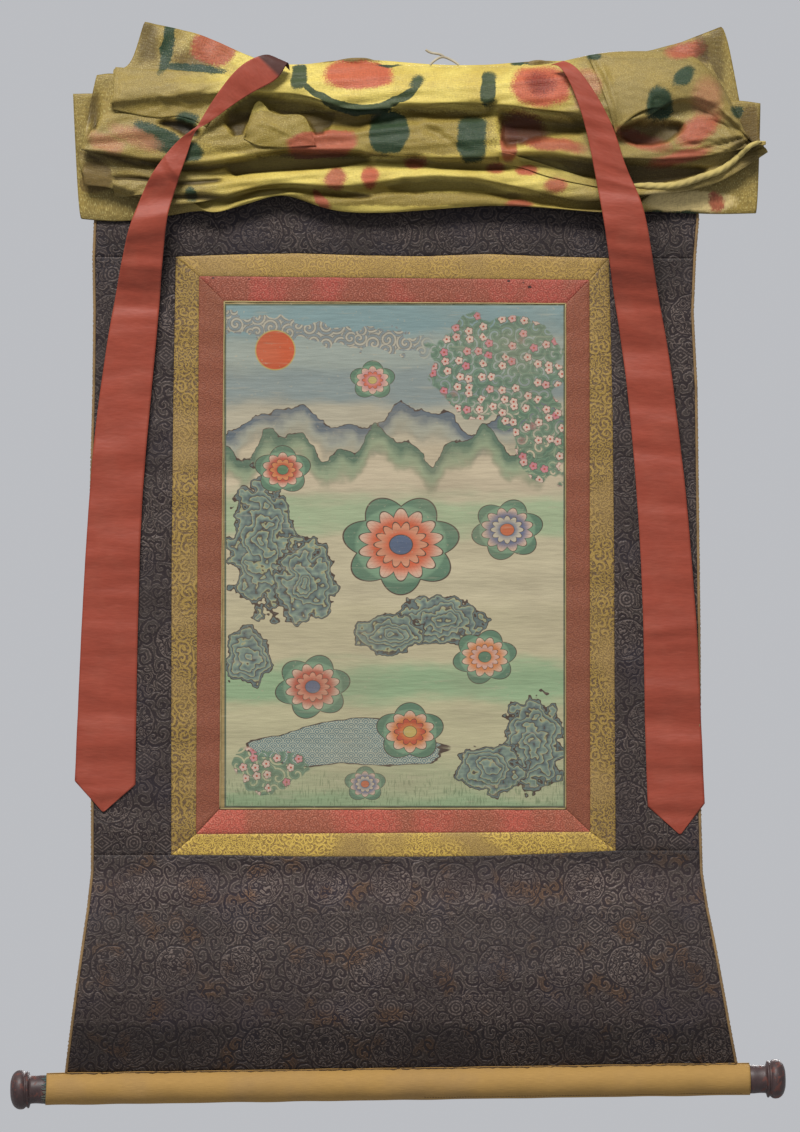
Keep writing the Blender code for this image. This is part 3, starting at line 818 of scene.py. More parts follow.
    def _rock(self, mix: Recipe, colour: object, away: Wire) -> object:
        """Lays a rock of nested, outlined layers over the painting."""
        layers = (away * 4.5).fract()
        body = mix.mix(layers, (0.05, 0.105, 0.125), (0.25, 0.36, 0.27))
        body = mix.mix(layers.band(0.98, 0.07, 0.05).most(layers.above(0.06, 0.02)) * 0.85, body, self.ink)
        body = mix.mix(layers.band(0.84, 0.04, 0.05) * 0.5, body, (0.42, 0.36, 0.15))
        colour = mix.mix(away.above(1.02, 1.0), colour, self.ink)
        return mix.mix(away.above(0.97, 0.95), colour, body)

    def _sprigs(self, mix: Recipe, x: Wire, z: Wire, size: float) -> tuple[Wire, Wire, Wire, Wire]:
        """Small scattered flowers and curled leaves.

        Args:
            mix: The recipe.
            x: The coordinate across.
            z: The height.
            size: The usual distance between two flowers.

        Returns:
            The curled leaves, the distance from a flower's lobed edge, its radius and its chance number.
        """
        leaves = mix.curls(x + 0.7, z, size * 1.2, size * 0.75)
        cells = mix.cells(mix.join(x, z), 1.0 / size, 0.9)
        centre_x, centre_z, _ = mix.split(cells.outputs["Position"])
        out_x, out_z = x - centre_x, z - centre_z
        radius = far(out_x, out_z) / size
        edge = radius - abs((mix.maths("ARCTAN2", out_z, out_x) * 2.5).sine()) * 0.1
        return leaves, edge, radius, mix.chance(cells)

    def _thicket(self, mix: Recipe, colour: object, mask: Wire, sprigs: tuple[Wire, Wire, Wire, Wire]) -> object:
        """Lays small five-petalled flowers over outlined leaves where a mask allows."""
        leaves, edge, radius, chance = sprigs
        shrub = mix.mix(leaves.above(0.3, 0.8), (0.16, 0.3, 0.2), (0.07, 0.17, 0.12))
        shrub = mix.mix(leaves.band(0.32, 0.06, 0.06) * 0.7, shrub, (0.06, 0.11, 0.08))
        colour = mix.mix(mask * leaves.above(0.12, 0.3) * 0.9, colour, shrub)
        shade = mix.mix(chance.above(0.4, 0.6), (0.48, 0.19, 0.22), (0.56, 0.44, 0.36))
        there = chance.above(0.3, 0.34) * mask
        colour = mix.mix(edge.above(0.32, 0.29) * there, colour, (0.11, 0.06, 0.06))
        colour = mix.mix(edge.above(0.27, 0.24) * there, colour, shade)
        return mix.mix(radius.above(0.11, 0.08) * there, colour, (0.4, 0.07, 0.05))

    def _sky(self, mix: Recipe, x: Wire, z: Wire, colour: object, jag: Wire, curls: Wire) -> object:
        """Lays the clouds and the sun over the washes."""
        # Cloud banks with curled edges in the sky
        bank = (x * 0.1 + z + (jag - 0.5) * 50 * MM).band(-368 * MM, 13 * MM, 1 * MM) * x.above(60 * MM, 20 * MM)
        cloud = mix.mix(curls, (0.13, 0.2, 0.23), (0.43, 0.4, 0.3))
        cloud = mix.mix(curls.band(0.5, 0.06, 0.06) * 0.8, cloud, self.ink)
        colour = mix.mix(bank * 0.9, colour, cloud)

        # A sun
        away = ((x + 160 * MM) ** 2.0 + (z + 380 * MM) ** 2.0) ** 0.5
        colour = mix.mix(away.above(27.5 * MM, 26.8 * MM), colour, (0.4, 0.31, 0.11))
        colour = mix.mix(away.above(25.8 * MM, 25.2 * MM), colour, (0.48, 0.085, 0.035))
        return colour

    def _hills(self, mix: Recipe, x: Wire, z: Wire, colour: object, jag: Wire) -> object:
        """Lays the hills over the painting, each with an ink line, a dark crest and a pale foot."""
        for ridge in self.ridges:
            crest = (x * (2 * math.pi / (ridge.length * MM)) + ridge.start).sine()
            peak = (x * (5.3 * math.pi / (ridge.length * MM)) + ridge.start * 2).sine()
            depth = (crest + peak * 0.45) * (ridge.swell * MM) + ridge.z * MM + (jag - 0.5) * 30 * MM - z
            hill = mix.mix(depth.above(0.0, 32 * MM), ridge.crest, ridge.foot)
            hill = mix.mix(depth.band(8 * MM, 0.8 * MM, 0.8 * MM) * 0.6, hill, ridge.crest)
            fade = depth.above(44 * MM, 20 * MM)
            colour = mix.mix(depth.above(-0.8 * MM, -0.2 * MM) * fade, colour, self.ink)
            colour = mix.mix(depth.above(0.6 * MM, 1.2 * MM) * fade, colour, hill)
        return colour

    def _pool(self, mix: Recipe, x: Wire, z: Wire, colour: object, wash: Wire) -> object:
        """Lays a pool with overlapping scale waves over the painting."""
        pool = self._mound(x, z, Mound(-60, -905, 130, 34), wash)
        scale_size = 13 * MM
        wave_row = z / (scale_size * 0.5)
        shift = (wave_row.floor() * 0.5).fract()
        wave_x = ((x / scale_size + shift).fract() - 0.5) * 2.0
        arc = (wave_x * wave_x + wave_row.fract() ** 2.0) ** 0.5
        lines = (arc * 2.6).fract().band(0.5, 0.16, 0.12)
        sea = mix.mix(lines, (0.09, 0.19, 0.21), (0.4, 0.44, 0.34))
        colour = mix.mix(pool.above(1.02, 1.0), colour, self.ink)
        return mix.mix(pool.above(0.98, 0.96), colour, sea)

    def _edge_lines(self, mix: Recipe, x: Wire, z: Wire, colour: object) -> object:
        """Lays a dark green line and a thin gold one just inside the piping."""
        left, right = (x + 229.5 * MM), (229.0 * MM - x)
        top, bottom = (-316.5 * MM - z), (z + 993 * MM)
        inside = left.least(right).least(top).least(bottom)
        colour = mix.mix(inside.above(4.2 * MM, 3.6 * MM), colour, (0.06, 0.11, 0.08))
        return mix.mix(inside.above(1.8 * MM, 1.2 * MM), colour, (0.3, 0.23, 0.1))

    def make(self) -> bpy.types.Material:
        """The material."""
        mix = Recipe("painted_cotton_cloth")
        x, _, z = mix.split(mix.coordinates())
        flat = mix.join(x, z)
        wash = mix.noise(mix.join(x * 0.3, z), 30.0, 3.0)
        jag = mix.noise(flat, 48.0, 2.0)
        ragged = mix.noise(flat, 26.0, 2.0)
        grass = mix.noise(mix.join(x * 5.0, z * 0.7), 120.0, 2.0).above(0.54, 0.62)
        stain = mix.noise(flat, 7.0, 3.0).above(0.45, 0.75)
        flakes = mix.noise(flat, 190.0, 4.0, 0.65).above(0.62, 0.67)
        rubbed = mix.noise(mix.join(x * 0.12, z), 150.0, 2.0).above(0.6, 0.72)
        crackle = mix.noise(mix.join(x * 0.15, z), 210.0, 2.0)
        weave = mix.noise(flat, 1100.0, 1.0)
        curls = mix.curls(x, z, 17 * MM, 7 * MM)
        sprigs = self._sprigs(mix, x, z, 15 * MM)
        back = mix.reverse()
        x, z = mix.settle(x, z, after=(wash, jag, ragged, grass, stain, flakes, rubbed, crackle, weave, curls,
                                       back, *sprigs))

        height = z + (wash - 0.5) * 60 * MM
        colour = self.top_wash
        for start, shade in self.bands:
            colour = mix.mix(height.above((start + 14) * MM, (start - 14) * MM), colour, shade)

        colour = self._sky(mix, x, z, colour, jag, curls)
        colour = self._hills(mix, x, z, colour, jag)
        colour = self._pool(mix, x, z, colour, wash)
        for mound in self.rocks:
            colour = self._rock(mix, colour, self._mound(x, z, mound, jag))
        for mound in self.thickets:
            mask = self._mound(x, z, mound, ragged).above(1.03, 0.97)
            colour = self._thicket(mix, colour, mask, sprigs)
        meadow = (z + ragged * 60 * MM).above(-910 * MM, -930 * MM)
        colour = mix.mix(meadow * grass * 0.5, colour, (0.07, 0.15, 0.08))

        for flower in self.blossoms:
            colour = self._blossom(mix, x, z, colour, flower)

        colour = self._edge_lines(mix, x, z, colour)
        colour = mix.mix(stain * 0.28, colour, (0.29, 0.26, 0.18))
        colour = mix.mix(flakes * 0.4, colour, (0.42, 0.38, 0.27))
        colour = mix.mix(rubbed * 0.22, colour, (0.44, 0.4, 0.29))
        colour = mix.mix(back * 0.88, colour, mix.mix(stain * 0.6, (0.4, 0.35, 0.25), (0.27, 0.22, 0.14)))
        colour = mix.mix(0.06, colour, (0.75, 0.28, 0.08))
        colour = mix.tint(colour, crackle * 0.3 + weave * 0.35 + 0.66)
        return mix.dress(Base_Color=colour, Roughness=0.8, Specular_IOR_Level=0.2,
                         Normal=mix.bump((crackle, 0.6 * MM), (weave, 0.15 * MM)))


@dataclass(frozen=True)
class TintSpot:
    """A tinted spot on the veil in millimetres, from tie-dyeing or painted as shade or highlight: centre, half sizes
    and colour, then its lean, its softness, its squareness and how its two ends bow upward."""

    x: float
    z: float
    half_x: float
    half_z: float
    tint: str
    lean: float = 0.0
    soft: float = 0.35
    power: float = 2.0
    bow: float = 0.0


@dataclass(frozen=True)
class VeilSilk:
    """Yellow silk with tie-dyeing, painted glints on its weave and painted shade in the hollows between its folds.
    """

    lemon: Colour = (0.64, 0.505, 0.115)
    mustard: Colour = (0.4, 0.27, 0.04)
    olive: Colour = (0.252, 0.182, 0.052)
    # Tint colours by name. The mustard and dark ones are painted shade, and the bright and pale ones are painted
    # highlights. red_in_painted_shade is red darkened as painted shade. The others are dye colours.
    tints: tuple[tuple[str, Colour], ...] = (
        ("mustard", (0.222, 0.154, 0.026)),
        ("dark", (0.15, 0.096, 0.026)),
        ("bright", (0.68, 0.55, 0.14)),
        ("pale", (0.7, 0.54, 0.24)),
        ("rose", (0.36, 0.085, 0.045)),
        ("red", (0.44, 0.078, 0.042)),
        ("red_in_painted_shade", (0.2, 0.026, 0.015)),
        ("teal", (0.005, 0.036, 0.018)),
        ("peach", (0.34, 0.15, 0.07)),
    )
    # The darker tints, dyes and painted shade alike, which dim the weave's painted glints
    glint_dimmed: tuple[str, ...] = ("dark", "rose", "red", "red_in_painted_shade", "teal")
    tint_spots: tuple[TintSpot, ...] = (
        # Painted shade and painted highlights on the ground
        TintSpot(-60, -93, 196, 31, "mustard", soft=0.35, power=4.0),
        TintSpot(40, -180, 190, 9, "mustard", soft=0.8, power=4.0),
        TintSpot(-60, 8, 40, 5, "dark", soft=0.5),
        TintSpot(186, 5, 28, 5, "dark", soft=0.5),
        TintSpot(392, -182, 58, 13, "pale", soft=0.6, power=3.0),
        TintSpot(-300, -62, 60, 16, "mustard", soft=0.9),
        TintSpot(-268, 4, 30, 12, "dark", lean=-0.3, soft=0.7),
        TintSpot(-200, 8, 18, 12, "bright", soft=0.5),
        TintSpot(-398, -150, 20, 20, "dark", soft=0.3, power=3.0),
        TintSpot(474, -84, 12, 30, "dark", soft=0.6, power=3.0),
        TintSpot(410, 26, 7, 24, "dark", lean=0.2, soft=0.6),
        TintSpot(200, -134, 40, 7, "bright", lean=-0.28, soft=0.4),
        # Middle swag
        TintSpot(-48, -15, 46, 20, "red", power=3.0),
        TintSpot(-127, -18, 10, 20, "teal", power=3.0, soft=0.3),
        TintSpot(-44, -63, 84, 6.5, "teal", power=5.0, bow=0.0056),
        TintSpot(30, -25, 12, 8, "teal", lean=0.6, soft=0.6),
        TintSpot(124, -34, 10, 23, "teal", power=3.0, soft=0.3),
        TintSpot(194, -31, 38, 28, "red", power=2.4),
        # The darker middle of the red spot is painted shade
        TintSpot(193, -28, 18, 17, "red_in_painted_shade", soft=0.9),
        # Second swag
        TintSpot(-8, -92, 25, 29, "teal", power=3.4, soft=0.2),
        TintSpot(-97, -108, 45, 17, "rose", lean=0.12, power=3.4, soft=0.3),
        TintSpot(102, -100, 20, 30, "teal", power=3.0, soft=0.25),
        TintSpot(152, -104, 14, 26, "rose", power=2.6),
        # Painted shade in the red hollow
        TintSpot(172, -86, 30, 22, "red_in_painted_shade", lean=-0.35, soft=0.6),
        TintSpot(208, -108, 46, 10, "rose", lean=-0.12, soft=0.6),
        # Lower folds
        TintSpot(-78, -153, 14, 14, "rose", soft=0.5),
        TintSpot(-33, -150, 12, 15, "red", soft=0.5),
        TintSpot(-99, -182, 7, 17, "rose", lean=0.5, soft=0.5),
        TintSpot(27, -132, 15, 8, "rose", soft=0.6),
        TintSpot(134, -139, 13, 8, "rose", soft=0.6),
        TintSpot(175, -142, 13, 7, "red", soft=0.6),
        TintSpot(213, -163, 15, 10, "rose", soft=0.6),
        TintSpot(166, -188, 20, 6, "rose", soft=0.5),
        TintSpot(-272, -175, 10, 10, "teal", soft=0.5),
        # Left end
        TintSpot(-304, 26, 8, 40, "teal", lean=-0.22, soft=0.3),
        TintSpot(-270, -4, 44, 7, "teal", lean=-0.1, soft=0.4),
        TintSpot(-242, 26, 30, 24, "rose", lean=-0.3, power=2.6, soft=0.35),
        TintSpot(-315, -100, 34, 15, "teal", lean=-0.42, soft=0.3, power=2.6),
        TintSpot(-274, -119, 20, 13, "teal", soft=0.35),
        TintSpot(-276, -77, 14, 12, "teal", soft=0.5),
        TintSpot(-384, -106, 24, 12, "peach", lean=-0.35, soft=0.7),
        TintSpot(-345, -100, 34, 12, "peach", lean=-0.4, soft=0.8),
        # Right end
        TintSpot(254, -38, 18, 28, "peach", soft=0.5, power=2.6),
        TintSpot(265, 10, 9, 5, "teal", soft=0.5),
        TintSpot(352, -54, 18, 22, "teal", power=2.4, soft=0.3),
        TintSpot(384, -18, 18, 10, "teal", lean=0.75, soft=0.4),
        TintSpot(415, -47, 20, 26, "peach", soft=0.9),
        TintSpot(404, -88, 32, 17, "rose", lean=0.55, soft=0.6),
        TintSpot(328, -102, 36, 12, "rose", lean=-0.3, soft=0.7),
        TintSpot(380, -125, 40, 9, "rose", lean=0.25, soft=0.7),
        TintSpot(428, -181, 11, 13, "rose", soft=0.5),
        TintSpot(388, 20, 26, 12, "rose", lean=0.3, soft=0.6),
        TintSpot(455, -63, 10, 10, "teal", soft=0.5),
        TintSpot(366, -202, 50, 8, "teal", soft=0.4),
        # Along the top edge
        TintSpot(-7, -1, 18, 3, "teal", soft=0.5),
        TintSpot(166, 2, 12, 3, "teal", soft=0.5),
    )

    def _spot(self, x: Wire, z: Wire, speck: Wire, tint_spot: TintSpot) -> Wire:
        """Where one tinted spot lies, from 0 to 1, with its edge broken up by the weave's specks."""
        out_x, out_z = x - tint_spot.x * MM, z - tint_spot.z * MM
        if tint_spot.lean:
            along_x, along_z = math.cos(tint_spot.lean), math.sin(tint_spot.lean)
            out_x, out_z = out_x * along_x + out_z * along_z, out_z * along_x - out_x * along_z
        if tint_spot.bow:
            out_z = out_z - out_x * out_x * (tint_spot.bow / MM)
        spread = (abs(out_x / (tint_spot.half_x * MM)) ** tint_spot.power
                  + abs(out_z / (tint_spot.half_z * MM)) ** tint_spot.power) + (speck - 0.5) * (0.9 + tint_spot.soft * 1.4)
        return spread.above(1 + tint_spot.soft, 1 - tint_spot.soft)

    def make(self) -> bpy.types.Material:
        """The material."""
        mix = Recipe("veil_silk_cloth")
        x, _, z = mix.split(mix.coordinates())
        u, v, _ = mix.split(mix.coordinates(Source.UV))
        flat = mix.join(x, z)
        speck = mix.noise(mix.join(u * 0.7, v * 1.4), 560.0, 2.0)
        drift = mix.noise(flat, 34.0, 2.0) - 0.5
        slant = mix.noise(mix.join(z, x), 34.0, 2.0) - 0.5
        soft_x = x + drift * 16 * MM
        soft_z = z + slant * 12 * MM

        ends = (abs(x + 10 * MM) + drift * 90 * MM).above(165 * MM, 290 * MM)
        colour = mix.mix(ends, self.lemon, self.olive)
        patch = mix.noise(mix.join(x * 0.6, z), 20.0, 2.0).above(0.44, 0.66)
        colour = mix.mix(patch * 0.55 * (1 - ends * 0.6), colour, self.mustard)
        glint_dimmed = None
        # Lays the dyes, the painted shade and the painted highlights, tint by tint
        for name, shade in self.tints:
            spots = (self._spot(soft_x, soft_z, speck, tint_spot) for tint_spot in self.tint_spots if tint_spot.tint == name)
            mask = reduce(Wire.most, spots)
            colour = mix.mix(mask * 0.94, colour, shade)
            if name in self.glint_dimmed:
                glint_dimmed = mask if glint_dimmed is None else glint_dimmed.most(mask)

        weft = mix.noise(mix.join(u * 0.3, v * 2.6), 330.0, 2.0)
        warp = mix.noise(mix.join(u * 2.6, v * 0.25), 330.0, 2.0)
        # Painted highlights: light glints on the weave, dimmed where the darker tints lie. The same specks also bump
        # the silk and make it a little glossier.
        glint_specks = mix.noise(mix.join(u, v * 1.5), 760.0, 1.0)
        painted_glint = glint_specks.above(0.55, 0.68)
        colour = mix.tint(colour, weft * 0.8 + warp * 0.45 + speck * 0.7 + 0.04)
        colour = mix.mix(painted_glint * (0.34 - glint_dimmed * 0.26), colour, (0.86, 0.74, 0.3))
        # Painted shade: the 'hollow' attribute darkens the silk towards a warm brown in the gaps between its folds.
        hollow = Wire(mix, mix.node("Attribute", {"attribute_name": "hollow"}, {}).outputs["Fac"])
        colour = mix.mix(hollow * 0.65, colour, (0.105, 0.055, 0.016))
        colour = mix.tint(colour, 1.0 - hollow * 0.72)
        return mix.dress(Base_Color=colour, Roughness=0.52 - painted_glint * 0.14, Specular_IOR_Level=0.2,
                         Normal=mix.bump((weft, 0.5 * MM), (warp, 0.35 * MM), (glint_specks, 0.3 * MM)))


@dataclass(frozen=True)
class RibbonSilk:
    """Brick-red silk satin with faint creases across."""

    name: str
    colour: Colour = (0.312, 0.055, 0.029)
    # Painted shade: the turned inside of the loop at the top takes this dark colour, up to painted_shade_until along
    # the ribbon
    inner: Colour = (0.07, 0.022, 0.016)
    painted_shade_until: float = 0.0

    def make(self) -> bpy.types.Material:
        """The material."""
        mix = Recipe(self.name)
        u, v, _ = mix.split(mix.coordinates(Source.UV))
        cross = mix.noise(mix.join(u * 0.3, v), 46.0, 3.0)
        fine = mix.noise(mix.join(u * 0.2, v), 420.0, 2.0)
        worn = mix.noise(mix.join(u, v), 22.0, 2.0).above(0.45, 0.7)
        colour = mix.mix(worn * 0.3, self.colour, (0.36, 0.085, 0.05))
        # Lighter and darker bands across, following the crease noise that also bumps the ribbon: painted sheen on
        # the satin, with grain.
        colour = mix.tint(colour, cross * 0.4 + fine * 0.25 + 0.68)
        # Painted shade on the turned inside of the loop
        if self.painted_shade_until:
            loop_painted_shade = v.above(self.painted_shade_until + 3 * MM, self.painted_shade_until - 3 * MM)
            colour = mix.mix(loop_painted_shade, colour, self.inner)
        return mix.dress(Base_Color=colour, Roughness=0.56, Specular_IOR_Level=0.24,
                         Normal=mix.bump((cross, 1.6 * MM), (fine, 0.12 * MM)))


@dataclass(frozen=True)
class SleeveCloth:
    """Tan cotton twill of the roller's sleeve, soiled and faded."""

    colour: Colour = (0.415, 0.243, 0.071)

    def make(self) -> bpy.types.Material:
        """The material."""
        mix = Recipe("sleeve_cotton_cloth")
        x, y, z = mix.split(mix.coordinates())
        u, v, _ = mix.split(mix.coordinates(Source.UV))
        weft = mix.noise(mix.join(u * 5.0, v * 0.25), 300.0, 2.0)
        weave = mix.noise(mix.join(u, v), 1500.0, 1.0)
        soil = mix.noise(mix.join(x, y, z), 16.0, 3.0).above(0.4, 0.72)
        colour = mix.mix(soil * 0.4, self.colour, (0.33, 0.205, 0.09))
        colour = mix.tint(colour, weft * 0.4 + weave * 0.35 + 0.62)
        return mix.dress(Base_Color=colour, Roughness=0.78, Specular_IOR_Level=0.2,
                         Normal=mix.bump((weft, 0.35 * MM), (weave, 0.15 * MM)))


@dataclass(frozen=True)
class Lacquer:
    """Dark purple-brown lacquer on turned wood, rubbed through to red at the rims."""

    colour: Colour = (0.045, 0.024, 0.024)
    rubbed: Colour = (0.18, 0.05, 0.032)

    def make(self) -> bpy.types.Material:
        """The material."""
        mix = Recipe("dark_lacquer")
        x, y, z = mix.split(mix.coordinates())
        place = mix.join(x, y, z)
        cloud = mix.noise(place, 60.0, 3.0)
        scratch = mix.noise(mix.join(x * 9.0, y, z), 90.0, 2.0).above(0.6, 0.72)
        edge = abs(x + 1 * MM).above(500 * MM, 508 * MM)
        rub = (mix.noise(place, 130.0, 2.0) + edge * 0.05).above(0.58, 0.7)
        colour = mix.mix(cloud.above(0.35, 0.7) * 0.6, self.colour, (0.09, 0.052, 0.05))
        colour = mix.mix(rub * 0.55, colour, self.rubbed)
        colour = mix.mix(scratch * 0.18, colour, (0.3, 0.2, 0.17))
        return mix.dress(Base_Color=colour, Roughness=0.5 + rub * 0.2, Specular_IOR_Level=0.3, Coat_Weight=0.06,
                         Coat_Roughness=0.35, Normal=mix.bump((cloud, 0.4 * MM), (scratch, -0.1 * MM)))


@dataclass(frozen=True)
class Thread:
    """A plain spun thread or braid of one colour, with its fibres."""

    name: str
    colour: Colour
    dirt: Colour

    def make(self) -> bpy.types.Material:
        """The material."""
        mix = Recipe(self.name)
        x, y, z = mix.split(mix.coordinates())
        place = mix.join(x, y, z)
        fibre = mix.noise(place, 1400.0, 2.0)
        soil = mix.noise(place, 40.0, 2.0).above(0.4, 0.7)
        colour = mix.mix(soil * 0.5, self.colour, self.dirt)
        colour = mix.tint(colour, fibre * 0.7 + 0.6)
        return mix.dress(Base_Color=colour, Roughness=0.85, Specular_IOR_Level=0.2,
                         Normal=mix.bump((fibre, 0.3 * MM)))


# The hanging cloth


@dataclass(frozen=True)
class Roll:
    """The axis and radii of the roller at the foot."""

    left: tuple[float, float] = (-514 * MM, -1369 * MM)
    right: tuple[float, float] = (522 * MM, -1354 * MM)
    rod_radius: float = 19 * MM
    sleeve_thickness: float = 1.5 * MM
    seam: float = 0.3 * MM
    foot_clearance: float = 0.75 * MM

    @property
    def sleeve_radius(self) -> float:
        """The outer radius of the sleeve."""
        return self.rod_radius + self.seam + self.sleeve_thickness

    @property
    def tilt(self) -> float:
        """The angle of the axis above level."""
        return math.atan2(self.right[1] - self.left[1], self.right[0] - self.left[0])

    def axis_z(self, x: np.ndarray | float) -> np.ndarray | float:
        """The height of the axis at distances across."""
        share = (x - self.left[0]) / (self.right[0] - self.left[0])
        return self.left[1] + share * (self.right[1] - self.left[1])

    def seat_z(self, x: np.ndarray | float) -> np.ndarray | float:
        """The height at which the lower panel meets the sleeve."""
        return self.axis_z(x) + self.sleeve_radius + self.foot_clearance


@dataclass(frozen=True)
class Hang:
    """How the flat cloth hangs: faint waves, faint level creases and the forward swing at the foot."""

    roll: Roll = Roll()
    wave_depth: float = 1.6 * MM
    wave_across: float = 17.0
    wave_slant: float = 5.0
    wave_down: float = 6.5
    wave_start: float = -220 * MM
    wave_full: float = 150 * MM
    bulge_top: float = -1050 * MM
    bulge_depth: float = 20 * MM
    bulge_unevenness: float = 4 * MM
    bulge_turn: float = 9.0
    bulge_lowness: float = 1.6
    bulge_fullness: float = 1.2
    crease_depth: float = 0.45 * MM
    crease_top: float = -240 * MM
    crease_foot: float = -1300 * MM
    crease_fade: float = 50 * MM

    def depth(self, x: np.ndarray, z: np.ndarray) -> np.ndarray:
        """The depth of the cloth's middle at places across and heights."""
        waves = np.sin(self.wave_across * x + self.wave_slant * z) * np.sin(self.wave_down * z + 1.0)
        waves = waves * self.wave_depth
        upper = waves * np.clip((self.wave_start - z) / self.wave_full, 0, 1)
        fall = np.clip((self.bulge_top - z) / (self.bulge_top - self.roll.seat_z(x)), 0, 1)
        swing = np.sin(math.pi * fall ** self.bulge_lowness).clip(0, 1) ** self.bulge_fullness
        deep = self.bulge_depth + self.bulge_unevenness * np.sin(self.bulge_turn * x + 0.6)
        lower = waves * (1 - fall) - deep * swing
        level = np.where(z > self.bulge_top, upper, lower)
        calm = (np.clip((self.crease_top - z) / self.crease_fade, 0, 1)
                * np.clip((z - self.crease_foot) / self.crease_fade, 0, 1))
        return level + ripple(x, z, 5, 0.9, 0.055) * self.crease_depth * calm

    def at(self, x: np.ndarray, z: np.ndarray, forward: np.ndarray | float = 0.0) -> np.ndarray:
        """Points of the hanging cloth, moved forward by an amount."""
        return np.column_stack([x, self.depth(x, z) - forward, z])


@dataclass(frozen=True)
class Ring:
    """The corners of a ring of cloth round the painting, in millimetres, and how its sides bow."""

    top_left: tuple[float, float]
    top_right: tuple[float, float]
    bottom_right: tuple[float, float]
    bottom_left: tuple[float, float]
    bow: dict[Side, tuple[float, ...]] = field(default_factory=dict)

    def side(self, side: Side, share: np.ndarray) -> np.ndarray:
        """Points of one side at shares of its length, in metres, as (x, z)."""
        start, end = (np.array(getattr(self, corner)) * MM for corner in side.ends)
        points = start + (end - start) * share[:, None]
        if side in self.bow:
            bow = np.array(self.bow[side]) * MM
            points[:, 1 if side.level else 0] += np.interp(share, np.linspace(0, 1, len(bow)), bow)
        return points


PAINTING = Ring((-228, -315), (228, -318), (228, -993), (-234, -993))
RED_RING = Ring((-262, -281), (260, -286), (261, -1024), (-266, -1027))
YELLOW_RING = Ring((-293, -255), (286, -257), (295, -1049), (-299, -1055),
                   {Side.TOP: (0, 3.3, 5.0, 2.5, 1.5, 5.0, 2.0, 0),
                    Side.BOTTOM: (0, -1.0, -3.5, -4.5, -5.5, -5.5, -3.0, 0),
                    Side.LEFT: (0, -2.0, -2.5, -1.5, 0), Side.RIGHT: (0, 2.5, 2.5, 1.0, 0)})
OUTLINE = np.array([
    # height, then the left and the right edge of the brocade there, in millimetres
    (-26, -378, 398), (-110, -398, 404), (-205, -402, 406), (-255, -404, 402), (-330, -403, 399),
    (-430, -404, 404), (-590, -408, 406), (-760, -407, 408), (-1004, -406, 409), (-1078, -406, 411),
    (-1125, -411, 418), (-1170, -417, 427), (-1215, -423, 435), (-1281, -432, 447), (-1346, -441, 460),
])[::-1] * MM


def outer_x(z: np.ndarray | float, side: Side) -> np.ndarray | float:
    """The brocade's left or right edge at heights."""
    return np.interp(z, OUTLINE[:, 0], OUTLINE[:, 1 if side is Side.LEFT else 2])


@dataclass(frozen=True)
class Seams:
    """How sewn cloth dips at its edges, swells between them and puckers beside them."""

    dip: float = 1.1 * MM
    dip_width: float = 1.5 * MM
    swell: float = 0.5 * MM
    swell_width: float = 9 * MM
    pucker: float = 0.35 * MM
    pucker_width: float = 8 * MM

    def relief(self, edge: np.ndarray, x: np.ndarray, z: np.ndarray) -> np.ndarray:
        """How far forward the cloth stands at distances from its nearest seam."""
        pucker = ripple(x, z, 11, 0.016, 0.016, 7) * self.pucker * np.exp(-edge / self.pucker_width)
        return (self.swell * (1 - np.exp(-edge / self.swell_width)) - self.dip * np.exp(-edge / self.dip_width)
                + pucker * (1 - np.exp(-edge / self.dip_width)))


